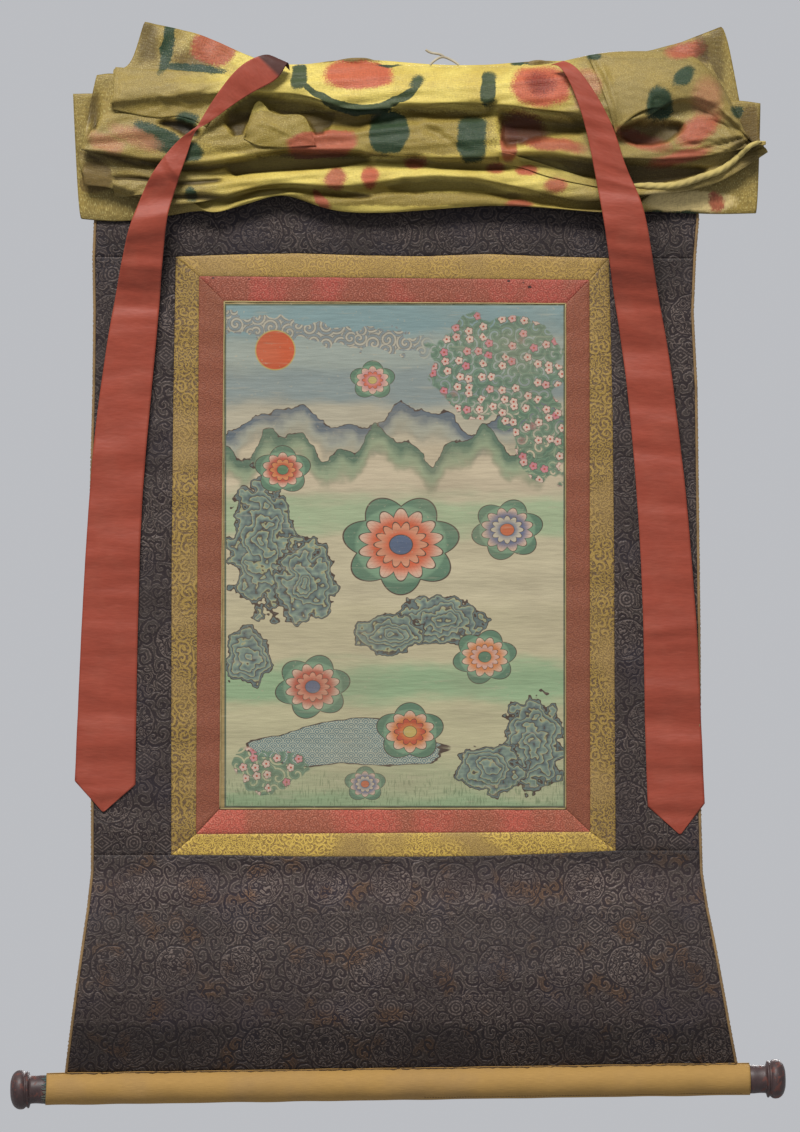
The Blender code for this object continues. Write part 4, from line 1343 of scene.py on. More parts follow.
@dataclass
class FlatCloth:
    """The painted panel, its two rings of borders, the piping and the outer brocade with its bindings."""

    hang: Hang = Hang()
    seams: Seams = Seams()
    thickness: float = 1.8 * MM
    overlap: float = 0.25 * MM
    binding_width: float = 2.6 * MM
    piping_radius: float = 1.0 * MM
    fine_step: float = 3.2 * MM
    top_hem: float = -26 * MM
    top_size: tuple[float, float] = (804 * MM, 232 * MM)
    bottom_size: tuple[float, float] = (900 * MM, 305 * MM)
    bottom_area: float = 0.262
    painting_size: tuple[float, float] = (459 * MM, 676 * MM)

    def _edge_rows(self, count: int) -> np.ndarray:
        """Shares across a strip, closer together near its two seams."""
        even = np.linspace(0, 1, count + 1)
        return even - 0.1 * np.sin(2 * math.pi * even)

    def _sheet(self, name: str, quad: Callable[[np.ndarray, np.ndarray], np.ndarray], columns: int, rows: int,
               size: tuple[float, float], material: bpy.types.Material) -> bpy.types.Object:
        """A panel between two curved edges, with seam relief all round.

        Args:
            name: The CAD node's name that the panel stands for.
            quad: Gives (x, z) at shares u and v.
            columns: Faces across.
            rows: Faces along.
            size: The panel's flat width and length.
            material: Its finish.

        Returns:
            The panel.
        """
        width, length = size

        def place(u: np.ndarray, v: np.ndarray) -> np.ndarray:
            """Points of the hanging panel at shares across and up."""
            u = np.interp(u, np.linspace(0, 1, columns + 1), self._edge_rows(columns))
            v = np.interp(v, np.linspace(0, 1, rows + 1), self._edge_rows(rows))
            flat = quad(u, v)
            edge = np.minimum(np.minimum(u, 1 - u) * width, np.minimum(v, 1 - v) * length)
            return self.hang.at(flat[:, 0], flat[:, 1], self.seams.relief(edge, flat[:, 0], flat[:, 1]))

        piece = own_piece(f"{name}_cloth", grid(columns, rows, place, size), material, [name])
        return thicken(piece, self.thickness)

    def strip(self, name: str, side: Side, inner: Ring, outer: Callable[[np.ndarray], np.ndarray],
              material: bpy.types.Material) -> bpy.types.Object:
        """A mitred strip between a ring and the edge outside it.

        Args:
            name: The CAD node's name.
            side: Which side of the ring.
            inner: The ring inside.
            outer: Gives the outer edge's points at shares of its length.
            material: The strip's finish.

        Returns:
            The strip.
        """
        ends = np.array([0.0, 0.5, 1.0])
        inside, outside = inner.side(side, ends), outer(ends)
        length = float(np.linalg.norm(outside[2] - outside[0]))
        width = float(np.linalg.norm(outside[1] - inside[1]))
        reach = self.overlap / width

        def quad(u: np.ndarray, v: np.ndarray) -> np.ndarray:
            """Places between the two edges, which the strip laps a little."""
            across = -reach + (1 + 2 * reach) * v
            a, b = inner.side(side, u), outer(u)
            return a + (b - a) * across[:, None]

        rows = max(10, round(width / self.fine_step))
        piece = self._sheet(name, quad, round(length / self.fine_step), rows, (length, width), material)
        return piece

    def borders(self) -> None:
        """The red and the yellow ring, four mitred strips each."""
        red_top = RedBrocade("red_brocade_top", (0.275, 0.073, 0.041), (0.385, 0.07, 0.048),
                             (0.56, 0.225, 0.155), 1.0).make()
        red_low = RedBrocade("red_brocade_low", (0.365, 0.106, 0.058), (0.52, 0.108, 0.07),
                             (0.67, 0.28, 0.19), 1.0).make()
        red_down = RedBrocade("red_brocade_down", (0.25, 0.08, 0.041), (0.29, 0.079, 0.043),
                              (0.36, 0.145, 0.08), 0.3).make()
        gold = YellowBrocade("yellow_brocade_top", (0.45, 0.285, 0.07), (0.25, 0.148, 0.055),
                             13 * MM, 4.6 * MM, 0.75).make()
        gold_low = YellowBrocade("yellow_brocade_low", (0.66, 0.445, 0.085), (0.24, 0.135, 0.042),
                                 13 * MM, 4.8 * MM, 0.9).make()
        gold_down = YellowBrocade("yellow_brocade_down", (0.34, 0.215, 0.048), (0.105, 0.06, 0.034),
                                  16 * MM, 6.4 * MM, 0.95).make()
        for side in Side:
            red = red_down if not side.level else red_low if side is Side.BOTTOM else red_top
            self.strip(f"red_border_{side.value}", side, PAINTING,
                       lambda share, side=side: RED_RING.side(side, share), red)
            yellow = gold_down if not side.level else gold_low if side is Side.BOTTOM else gold
            self.strip(f"yellow_border_{side.value}", side, RED_RING,
                       lambda share, side=side: YELLOW_RING.side(side, share), yellow)
            LOG.info("borders %s", side.value)

    def painting(self) -> None:
        """The painted panel and the piping round it."""
        def quad(u: np.ndarray, v: np.ndarray) -> np.ndarray:
            """Places between the panel's lower and upper edge."""
            low, high = PAINTING.side(Side.BOTTOM, u), PAINTING.side(Side.TOP, u)
            return low + (high - low) * v[:, None]

        size = self.painting_size
        piece = self._sheet("painting_panel", quad, 110, 160, size, PaintedCotton().make())
        braid = Thread("piping_thread", (0.42, 0.33, 0.15), (0.21, 0.15, 0.08)).make()
        for side in Side:
            share = np.linspace(0, 1, 150)
            line = PAINTING.side(side, share)
            path = self.hang.at(line[:, 0], line[:, 1], self.thickness / 2 - 0.2 * MM)
            path += ripple(line[:, 0], line[:, 1], 3, 0.05, 0.05)[:, None] * 0.12 * MM
            radii = np.full(len(path), self.piping_radius)
            own_piece(f"piping_{side.value}", tube(path, radii, 10, 2, 260.0), braid)
        LOG.info("painting and piping")

    def brocade(self) -> None:
        """The four panels of the outer brocade and the braid down both edges."""
        dark = DarkBrocade().make()
        edge = self.binding_width - self.overlap

        def sides(z: np.ndarray, u: np.ndarray) -> np.ndarray:
            """Places across the brocade at heights and shares of its width."""
            left, right = outer_x(z, Side.LEFT) + edge, outer_x(z, Side.RIGHT) - edge
            return left + (right - left) * u

        def middle(u: np.ndarray, side: Side) -> np.ndarray:
            """The height of the seam below or above the yellow ring at shares across the brocade."""
            line = YELLOW_RING.side(side, np.linspace(0, 1, 60))
            x = sides(np.full_like(u, line[:, 1].mean()), u)
            return np.interp(x, line[:, 0], line[:, 1])

        def top(u: np.ndarray, v: np.ndarray) -> np.ndarray:
            """Places of the panel above the yellow ring."""
            seam = middle(u, Side.TOP) - self.overlap
            z = seam + (self.top_hem - seam) * v
            return np.column_stack([sides(z, u), z])

        def bottom(u: np.ndarray, v: np.ndarray) -> np.ndarray:
            """Places of the flared panel between the yellow ring and the sleeve."""
            seam = middle(u, Side.BOTTOM) + self.overlap
            x = sides(seam, u)
            foot = self.hang.roll.seat_z(x)
            z = foot + (seam - foot) * v
            return np.column_stack([sides(z, u), z])

        top_piece = self._sheet("brocade_top", top, 180, 60, self.top_size, dark)
        low_piece = self._sheet("brocade_bottom", bottom, 190, 90, self.bottom_size, dark)
        for side, sign in ((Side.LEFT, 1), (Side.RIGHT, -1)):
            def outer(share: np.ndarray, side: Side = side, sign: int = sign) -> np.ndarray:
                """Places of the column's outer edge at shares of its length."""
                z = YELLOW_RING.side(side, share)[:, 1]
                return np.column_stack([outer_x(z, side) + sign * edge, z])

            self.strip(f"brocade_{side.value}", side, YELLOW_RING, outer, dark)
            self.binding(side, sign)
        LOG.info("brocade and bindings")

    def binding(self, side: Side, sign: int) -> None:
        """The narrow frayed braid down one outer edge."""
        braid = Thread(f"braid_{side.value}", (0.3, 0.19, 0.085), (0.15, 0.095, 0.05)).make()
        foot = float(self.hang.roll.seat_z(outer_x(OUTLINE[0, 0], side)))

        def place(u: np.ndarray, v: np.ndarray) -> np.ndarray:
            """Points across the braid at u and up it at v."""
            z = foot + (self.top_hem - foot) * v
            fray = ripple(u * 0.003, z, 21, 0.02, 0.006) * 0.35 * MM
            inside = u if side is Side.LEFT else 1 - u
            x = outer_x(z, side) + sign * (self.binding_width * inside + fray * (1 - inside))
            swell = np.sin(math.pi * u) * 0.7 * MM
            return self.hang.at(x, z, swell)

        made = grid(6, 700, place, (self.binding_width, self.top_hem - foot))
        name = f"edge_binding_{side.value}"
        thicken(own_piece(f"{name}_braid", made, braid, [name]), self.thickness)


# The veil


@dataclass(frozen=True)
class Crease:
    """A fold line of the veil in millimetres: its two ends, half width and depth. A depth above 0
    is a trough and one below 0 a ridge."""

    x0: float
    z0: float
    x1: float
    z1: float
    half: float
    depth: float

    def press(self, x: np.ndarray, z: np.ndarray) -> np.ndarray:
        """How far back the crease presses points at places across and heights."""
        start = np.array([self.x0, self.z0]) * MM
        end = np.array([self.x1, self.z1]) * MM
        run = end - start
        length = float(np.linalg.norm(run))
        along = ((x - start[0]) * run[0] + (z - start[1]) * run[1]) / length ** 2
        inside = np.clip(along, 0, 1)
        away_x = x - (start[0] + run[0] * inside)
        away_z = z - (start[1] + run[1] * inside)
        distance = np.hypot(away_x, away_z) / (self.half * MM)
        taper = 0.35 + 0.65 * np.sin(math.pi * np.clip(along, 0.02, 0.98)) ** 0.6
        return self.depth * MM * np.exp(-(distance / taper) ** 2) * taper


@dataclass(frozen=True)
class Hollow:
    """A dark gap between folds: how far it is pressed back and how dark its painted shade is within, from 0 to 1,
    how soft its upper and lower rims are and how far its upper lip stands out, all in millimetres, and its
    course, as places across with the heights of both rims. The back ones only paint shade, in the layer behind."""

    depth: float
    shade: float
    soft_top: float
    soft_bottom: float
    lip: float
    course: tuple[tuple[float, float, float], ...]
    back: bool = False

    def within(self, x: np.ndarray, z: np.ndarray) -> tuple[np.ndarray, np.ndarray]:
        """How far inside the hollow points are, from 0 to 1, and how far its lip lifts them."""
        places, tops, bottoms = np.array(self.course).T * MM
        top = np.interp(x, places, tops)
        bottom = np.interp(x, places, bottoms)
        ends = np.clip((x - places[0]) / (8 * MM), 0, 1) * np.clip((places[-1] - x) / (8 * MM), 0, 1)
        below = np.clip((top - z) / (self.soft_top * MM) + 0.5, 0, 1)
        above = np.clip((z - bottom) / (self.soft_bottom * MM) + 0.5, 0, 1)
        inside = smooth(below) * smooth(above)
        lift = np.exp(-((z - top - 4 * MM) / (4 * MM)) ** 2) * self.lip * MM
        return inside * ends, lift * ends


@dataclass(frozen=True)
class Flap:
    """A small turned part of the veil between an upper and a lower edge, given in millimetres, and how far in
    front of the cloth behind its upper, lower and right edges stand. A depth puts it at a fixed place instead,
    and a merged one runs into the cloth at its lower right."""

    name: str
    upper: tuple[tuple[float, float], ...]
    lower: tuple[tuple[float, float], ...]
    stand_upper: float
    stand_lower: float
    stand_right: float = 1.0
    bulge: float = 0.0
    depth: float | None = None
    columns: int = 56
    rows: int = 28
    merged: bool = False
    thickness: float = 0.9 * MM
    # The depth where there is no cloth behind, in metres
    open_depth: float = -20 * MM
    # How often the depth is averaged before and after the flap stands off, and how close it may come
    calm_passes: int = 24
    last_passes: int = 4
    clear: float = 0.8
    # How far a merged part sinks in, and how much of the veil's creases the flap shows
    sink: float = 2.4
    crease_share: float = 0.6

    def _edge(self, points: tuple[tuple[float, float], ...], share: np.ndarray) -> np.ndarray:
        """Points along an edge at even shares of its width."""
        table = np.array(points) * MM
        run = np.concatenate([[0], np.cumsum(np.hypot(*np.diff(table, axis=0).T))])
        fine = np.linspace(0, len(table) - 1, 8 * len(table))
        curve = spline_matrix(len(table), fine) @ table
        along = np.interp(fine, range(len(table)), run / run[-1])
        return np.column_stack([np.interp(share, along, curve[:, 0]), np.interp(share, along, curve[:, 1])])

    def _lie(self, tree: BVHTree, flat: np.ndarray, share: np.ndarray, creases: Sequence[Crease]) -> np.ndarray:
        """How the flap lies in front of the veil.

        Args:
            tree: The veil behind.
            flat: The flap's grid of places, as (x, z).
            share: Shares of its width, one for each column.
            creases: The fold lines that also run over it.

        Returns:
            A grid of depths.
        """
        raw = np.array([[self.open_depth if (deep := foremost(tree, x, z)) is None else deep for x, z in row]
                        for row in flat])
        down, across = np.linspace(0, 1, len(flat))[:, None], share[None, :]
        stand = self.stand_upper + (self.stand_lower - self.stand_upper) * down
        stand = stand + (self.stand_right - stand) * across ** 1.5
        depth = soften(np.minimum(soften(raw, self.calm_passes) - stand * MM, raw - 1.0 * MM), self.last_passes)
        merging = np.clip((down - 0.8) / 0.2, 0, 1) * np.clip((across - 0.3) / 0.25, 0, 1) * self.merged
        keep = self.clear - self.sink * merging
        depth = np.minimum(depth, raw - self.clear * MM)
        depth = np.where(keep < self.clear, np.maximum(depth, raw - keep * MM), depth)
        pressed = sum((crease.press(flat[:, :, 0], flat[:, :, 1]) for crease in creases), np.zeros(raw.shape))
        return depth + pressed * self.crease_share

    def dress(self, tree: BVHTree, material: bpy.types.Material, creases: Sequence[Crease]) -> bpy.types.Object:
        """Builds the flap in front of the veil.

        Args:
            tree: The veil behind.
            material: The veil's finish.
            creases: The fold lines that also run over the flap.

        Returns:
            The flap.
        """
        shape = (self.rows + 1, self.columns + 1)
        share = np.linspace(0, 1, shape[1])
        upper, lower = self._edge(self.upper, share), self._edge(self.lower, share)
        fall = np.linspace(0, 1, shape[0])[:, None, None]
        flat = upper + (lower - upper) * fall
        flat[:, :, 0] += np.sin(math.pi * fall[:, :, 0]) * self.bulge * MM * (1 - share)
        if self.depth is None:
            depth = self._lie(tree, flat, share, creases)
        else:
            depth = np.full(shape, self.depth * MM)
        depth = depth + ripple(flat[:, :, 0], flat[:, :, 1], len(self.name), 0.03, 0.014) * 0.35 * MM - 0.3 * MM

        def place(u: np.ndarray, v: np.ndarray) -> np.ndarray:
            """Points of the flap, from its lower edge at v of 0 up."""
            column = np.rint(u * self.columns).astype(int)
            row = np.rint((1 - v) * self.rows).astype(int)
            return np.column_stack([flat[row, column, 0], depth[row, column], flat[row, column, 1]])

        size = (float(np.ptp(flat[:, :, 0])), float(np.ptp(flat[:, :, 1])))
        piece = own_piece(self.name, grid(self.columns, self.rows, place, size), material)
        return thicken(piece, self.thickness)


@dataclass
class Veil:
    """The silk veil, gathered up in folds over the top edge, from its back hem to its lowest roll."""

    stations: tuple[float, ...] = (0, .05, .11, .18, .25, .31, .38, .5, .6, .68, .74, .80, .86, .93, 1)
    end_share: tuple[float, ...] = (1, 1, 1, .2, 0, 0, 0, 0, 0, 0, 0, 0, .4, 1, 1)
    folds: tuple[tuple[float, float, float, float, int, tuple[float, ...]], ...] = (
        # left, right, depth, end depth, rows of faces down to the next fold, heights at the stations
        (-330, 420, 2.3, 2.3, 7, (-60, -62, -64, -66, -62, -60, -60, -58, -60, -62, -62, -64, -66, -64, -60)),
        (-333, 436, 6, 6, 6, (61, 53, 40, 14, 1, 3, 8, 0, 0, 5, 3, 8, 17, 35, 55)),
        (-351, 459, -3, -3, 6, (0, -8, -11, -16, -11, -6, -8, -9, -8, -6, 0, 5, 3, -12, -48)),
        (-374, 472, -20, -14, 10, (-3, -4, -5, -13, -6, 0, 1, -3, -3, 0, 10, 15, 14, 0, -108)),
        (-372, 476, -46, -38, 10, (-30, -28, -27, -28, -26, -28, -34, -30, -30, -34, -34, -36, -24, -28, -110)),
        (-378, 478, -46, -42, 6, (-56, -51, -46, -43, -44, -46, -66, -56, -59, -67, -73, -90, -61, -56, -112)),
        (-378, 478, -33, -33, 5, (-42, -37, -32, -30, -30, -31, -50, -42, -42, -46, -52, -66, -46, -42, -109)),
        (-386, 482, -29, -31, 9, (-66, -60, -58, -58, -64, -64, -76, -66, -72, -82, -94, -100, -88, -66, -113)),
        (-404, 486, -45, -40, 12, (-88, -86, -88, -92, -84, -82, -96, -90, -92, -104, -112, -116, -106, -90, -111)),
        (-417, 493, -42, -36, 7,
         (-115, -127, -135, -134, -126, -119, -121, -127, -128, -122, -131, -128, -131, -122, -108)),
        (-394, 492, -28, -28, 7,
         (-10, -14, -118, -118, -110, -103, -104, -112, -112, -106, -114, -112, -114, -106, -104)),
        (-414, 491, -23, -24, 8,
         (-122, -136, -144, -144, -140, -136, -132, -134, -136, -136, -148, -152, -150, -128, -110)),
        (-414, 494, -36, -26, 8,
         (-142, -148, -156, -158, -152, -148, -148, -142, -148, -154, -166, -168, -162, -142, -112)),
        (-414, 496, -33, -24, 5,
         (-161, -167, -186, -184, -166, -161, -166, -153, -160, -176, -184, -176, -171, -156, -116)),
        (-414, 490, -20, -18, 6,
         (-146, -150, -168, -168, -152, -148, -152, -140, -146, -160, -168, -160, -156, -140, -104)),
        (-424, 486, -15, -14, 8,
         (-118, -130, -160, -186, -168, -163, -170, -158, -166, -182, -188, -184, -174, -126, -96)),
        (-429, 488, -26, -11, 10,
         (-34, -36, -70, -190, -174, -168, -180, -176, -180, -188, -192, -190, -150, -52, -54)),
        (-422, 484, -20, -7, 4,
         (-188, -192, -194, -195, -186, -174, -196, -194, -188, -190, -194, -196, -194, -186, -184)),
        (-416, 480, -6.5, -4.2, 3,
         (-190, -192, -188, -184, -174, -164, -184, -182, -176, -178, -184, -186, -186, -184, -184)),
        (-412, 476, -2.6, -2.6, 0,
         (-176, -178, -176, -172, -162, -152, -172, -170, -164, -166, -172, -174, -174, -172, -172)),
    )
    columns: int = 250
    thickness: float = 0.9 * MM
    flat: tuple[float, float] = (0.92, 0.52)
    row_share: float = 1.32
    still_depth: float = -5 * MM
    free_depth: float = -42 * MM
    back_depth: float = -14 * MM
    back_fade: float = 8 * MM
    gather: tuple[float, float] = (470 * MM, -120 * MM)
    tree: BVHTree | None = field(default=None, init=False)
    silk: bpy.types.Material | None = field(default=None, init=False)
    # Each hollow presses the free folds back and paints shade inside itself by its shade number. The back ones only
    # paint shade.
    hollows: tuple[Hollow, ...] = (
        # The dark hole left of the ribbon's twist
        Hollow(11, 0.95, 4, 5, 1.5, (
            (-317, -78.9, -81.6), (-301, -74.9, -85.6), (-282, -77.5, -96.3), (-266, -84.2, -98.9),
            (-255, -93.6, -97.6))),
        # Slits between the layers at the left end
        Hollow(9, 0.92, 4, 4, 1.5, (
            (-428, -113.6, -116.3), (-417, -116.3, -124.3), (-374, -121.7, -131), (-334, -128.4, -137.7),
            (-308, -131, -139), (-281, -135, -143.1), (-247, -135, -143.1), (-210, -128.4, -135))),
        Hollow(7, 0.85, 3, 3, 1, (
            (-380, -149.7, -151.1), (-368, -148.4, -157.8), (-341, -149.7, -157.8),
            (-325, -152.4, -159.1), (-301, -156.4, -163.1), (-261, -155.1, -161.8),
            (-227, -152.4, -157.8))),
        # The turned flap of the left end
        Hollow(8, 0.7, 4, 4, 0, (
            (-416, -58.8, -61.5), (-408, -45.5, -82.9), (-398, -38.8, -90.9), (-390, -42.8, -61.5))),
        # A shaded fold above the lower left lobe
        Hollow(5, 0.5, 4, 5, 1, (
            (-298, -49.5, -52.1), (-279, -52.1, -62.8), (-261, -57.5, -70.9), (-245, -64.2, -68.2))),
        # The shade under the top swag, left of the middle
        Hollow(8, 0.38, 4, 12, 2, (
            (-191, -38.8, -41.4), (-160, -42.8, -62.8), (-127, -49.5, -69.5), (-106, -52.1, -72.2),
            (-87, -58.8, -81.6), (-67, -65.5, -86.9), (-47, -69.5, -88.2), (-28, -66.8, -76.2),
            (-15, -61.5, -64.2))),
        # Round the small lobe that stands up behind the left ribbon
        Hollow(11, 0.72, 4, 3, 2, (
            (-229, -69.5, -74.9), (-214, -56.2, -97.6), (-202, -46.8, -96.3), (-194, -42.8, -74.9),
            (-187, -41.4, -58.8), (-180, -41.4, -50.8), (-175, -42.1, -53.5), (-168, -44.1, -61.5),
            (-151, -46.8, -68.2), (-124, -50.8, -70.2), (-114, -52.1, -81.6), (-106, -53.5, -96.3),
            (-95, -57.5, -94.9), (-83, -62.8, -80.2), (-74, -66.8, -70.9))),
        # The long gap above the third face
        Hollow(17, 0.95, 4, 4, 3, (
            (-231, -132.4, -135), (-213, -129, -149.7), (-191, -125, -145.7), (-148, -117, -143.1),
            (-100, -118.3, -140.4), (-67, -119, -136.4), (-47, -120.3, -132.4), (-28, -127, -129.7))),
        # The gap under the third face
        Hollow(12, 0.85, 4, 6, 2.5, (
            (-15, -161.8, -163.1), (-3, -159.1, -168.5), (12, -153.8, -171.1), (27, -155.1, -172.5),
            (40, -153.8, -171.1), (51, -152.4, -169.8), (74, -153.8, -168.5), (100, -155.1, -168.5),
            (120, -159.1, -171.1), (138, -164.5, -176.5), (154, -169.8, -180.5), (172, -173.8, -177.8))),
        Hollow(8, 0.8, 3, 4, 2, (
            (-317, -173.8, -175.1), (-287, -173.8, -180.5), (-254, -173.8, -182.5),
            (-221, -176.5, -185.8), (-183, -167.1, -177.8), (-139, -163.1, -171.1),
            (-102, -164.5, -172.5), (-72, -167.1, -177.8), (-47, -172.5, -180.5),
            (-28, -175.1, -177.8))),
        # Under the second swag, right of the middle
        Hollow(7, 0.6, 3, 5, 2, (
            (-32, -127, -129.7), (1, -125.7, -133.7), (27, -123, -132.4), (56, -129.7, -139),
            (100, -131, -141.7), (132, -132.4, -141.7), (156, -136.4, -141.7))),
        # Under the top swag, right of the middle
        Hollow(7, 0.38, 4, 12, 2.5, (
            (-7, -57.5, -60.2), (20, -56.2, -66.8), (51, -57.5, -72.2), (88, -61.5, -76.2),
            (111, -62.8, -74.9), (127, -54.8, -66.8), (138, -49.5, -52.1))),
        # The red hollow left of the right ribbon
        Hollow(18, 0.72, 5, 12, 3, (
            (135, -58.8, -61.5), (140, -60.2, -98.9), (148, -61.5, -112.3), (167, -64.2, -109.6),
            (180, -66.8, -104.3), (197, -70.9, -100.3), (210, -73.5, -97.6), (227, -74.9, -94.9),
            (245, -74.9, -93.6), (263, -77.5, -85.6))),
        # The gap above the bright twisted fold
        Hollow(12, 0.85, 4, 4, 2, (
            (159, -121.7, -123), (180, -121.7, -132.4), (201, -123, -139), (221, -124.3, -143.1),
            (241, -127, -148.4), (261, -129.7, -152.4), (279, -133.7, -155.1))),
        # The upper opening of the right end
        Hollow(16, 0.66, 5, 6, 3, (
            (295, -89.6, -92.3), (306, -82.9, -101.6), (321, -78.2, -108.3), (341, -76.9, -109.6),
            (361, -77.5, -105.6), (376, -78.9, -94.9), (386, -81.6, -86.9))),
        # The lower opening of the right end
        Hollow(16, 0.9, 4, 4, 1.5, (
            (285, -132.4, -135), (302, -131, -159.1), (328, -132.4, -161.8), (354, -133.7, -159.1),
            (381, -135, -153.8), (404, -136.4, -147.1), (418, -139, -143.1))),
        # The right flap's shaded upper part
        Hollow(1, 0.45, 8, 40, 0, ((445, -56.2, -112.3), (461, -50.8, -139), (488, -53.5, -152.4))),
        # Painted shade on the folded-over corner of the back right end
        Hollow(3, 0.5, 4, 4, 0, (
            (397, 18.7, 8), (408, 32.1, 5.3), (421, 44.1, 5.3), (429, 50.8, -13.4), (437, 53.5, -18.7),
            (444, 34.8, 8)), back=True),
        # Painted shade on a fold of the back left end
        Hollow(3, 0.5, 6, 8, 0, (
            (-346, 48.1, 5.3), (-336, 58.8, 5.3), (-325, 56.2, 5.3), (-314, 48.1, 8)), back=True),
    )
    creases: tuple[Crease, ...] = (
        # The left end
        Crease(-314, -42, -258, -64, 3, -2.4),
        Crease(-282, -40, -252, -36, 2.5, -1.8),
        Crease(-296, -54, -250, -64, 3, 2.6),
        Crease(-206, -52, -178, -52, 10, -3.5),
        Crease(-178, -58, -122, -72, 8, -3.0),
        Crease(-414, -116, -334, -128, 4, -2.6),
        Crease(-392, -44, -398, -86, 4, 2.6),
        Crease(-370, -8, -368, -54, 3, 2.2),
        Crease(-404, -40, -412, -120, 3, -2.2),
        Crease(-336, 30, -340, -2, 5, 2.2),
        Crease(-330, -6, -300, -2, 3, -2.0),
        Crease(-208, -96, -190, -114, 2.2, -2.0),
        Crease(-166, -84, -138, -98, 2.2, -2.0),
        # The middle
        Crease(24, -76, 86, -114, 6, 3.4),
        Crease(32, -70, 96, -108, 5, -2.2),
        Crease(62, -76, 84, -75, 2, 1.6),
        Crease(-96, -52, -30, -84, 7, -2.0),
        Crease(-118, -98, -46, -92, 5, 1.8),
        # The triangular fold and the right end
        Crease(257, 10, 274, -18, 4, 4.5),
        Crease(274, -18, 290, -62, 4, 5.5),
        Crease(288, -58, 294, -94, 4, 4.5),
        Crease(268, 4, 286, -30, 5, -4.0),
        Crease(284, -30, 296, -84, 5, -4.5),
        Crease(296, -94, 318, -76, 4, -4.5),
        Crease(318, -76, 342, -62, 4, -3.0),
        Crease(466, -96, 392, -104, 3, -2.6),
        Crease(468, -98, 398, -118, 2.6, 2.6),
        Crease(470, -100, 404, -132, 3, -3.0),
        Crease(472, -102, 412, -142, 2.6, 2.8),
        Crease(466, -90, 412, -76, 2.6, 2.4),
        Crease(462, -84, 420, -60, 3, -2.4),
        Crease(440, -52, 400, -70, 4, 1.8),
        Crease(430, -100, 376, -112, 3, 2.4),
        Crease(420, -122, 360, -126, 3, -2.4),
        Crease(448, -150, 446, -196, 3, 3.0),
        Crease(440, -150, 436, -192, 4, -3.0),
    )

    flaps: tuple[Flap, ...] = (
        Flap("veil_standing_lobe",
             ((-199, -97.6), (-195, -82.9), (-189, -61.5), (-182, -51.5), (-175, -54.1), (-168, -62.8),
              (-159, -67.5), (-148, -69.5), (-134, -69.5), (-123, -71.5), (-115, -81.6), (-106, -107)),
             ((-201, -101.6), (-191, -107), (-182, -111), (-172, -112.3), (-163, -113), (-154, -113.6),
              (-144, -113.6), (-135, -113), (-127, -112.3), (-119, -111.6), (-112, -111), (-104, -111)),
             5, 1.2, 3),
        Flap("veil_folded_end",
             ((-376, -155.8), (-361, -154.8), (-346, -155.8), (-328, -157.1)),
             ((-374, -175.1), (-360, -176.2), (-345, -175.1), (-329, -174.5)),
             4.5, 7, 5),
        Flap("veil_turned_flap",
             ((257, 10.7), (270, 12), (290, 10), (314, 8.7), (341, 8.7), (370, 8), (396, 3), (418, -10),
              (436, -30), (450, -56), (461, -80), (470, -100)),
             ((293, -94.9), (299, -86.9), (313, -74.9), (328, -66.2), (346, -61.5), (370, -63), (396, -68),
              (414, -75), (430, -84), (445, -93), (457, -100), (468, -106)),
             2.5, 6, 1.0, 2.0, columns=84, merged=True),
        Flap("veil_left_face",
             ((-372, -4), (-350, -6), (-320, -9), (-290, -10), (-262, -11), (-236, -14), (-214, -18)),
             ((-374, -62), (-352, -67), (-330, -71), (-310, -73), (-290, -71), (-270, -76), (-250, -86)),
             1.5, 2.5, 1.0, columns=64),
        Flap("veil_bright_band",
             ((138, -119), (160, -123), (180, -127.7), (201, -134.4), (227, -143.1), (258, -153.8),
              (282, -163.1)),
             ((138, -132.4), (160, -136.4), (180, -142.4), (201, -149.7), (227, -156.4), (258, -162.4),
              (282, -166.5)),
             3.5, 2.6, 1.5),
        Flap("veil_hump_left",
             ((-95, -2.7), (-84, 3.3), (-67, 8), (-49, 9), (-32, 7.6), (-15, -1.3)),
             ((-95, -10.7), (-79, -10.7), (-63, -10.7), (-47, -10.7), (-31, -10.7), (-15, -10.7)),
             0, 0, depth=-13, rows=8),
        Flap("veil_hump_right",
             ((160, -6.7), (172, 1.3), (183, 5.3), (195, 6), (205, 2.7), (213, -6.7)),
             ((160, -13.4), (171, -13.4), (182, -13.4), (193, -13.4), (203, -13.4), (213, -13.4)),
             0, 0, depth=-13, rows=8),
    )

    def surface(self, share: np.ndarray, fold: np.ndarray) -> np.ndarray:
        """Points of the veil.

        Args:
            share: Shares along the veil, from its left to its right end.
            fold: Places down its section, from 0 at the back hem to the last fold's number.

        Returns:
            An array of shape (folds, shares, 3).
        """
        across = spline_matrix(len(self.stations), np.interp(share, self.stations, range(len(self.stations))))
        down = spline_matrix(len(self.folds), fold)
        station, end = np.array(self.stations), np.array(self.end_share)
        rows = np.array([np.column_stack([left + (right - left) * station, depth + (deep - depth) * end, heights])
                         for left, right, depth, deep, _, heights in self.folds]) * MM
        return np.einsum("fr,rsk,ps->fpk", down, rows, across)

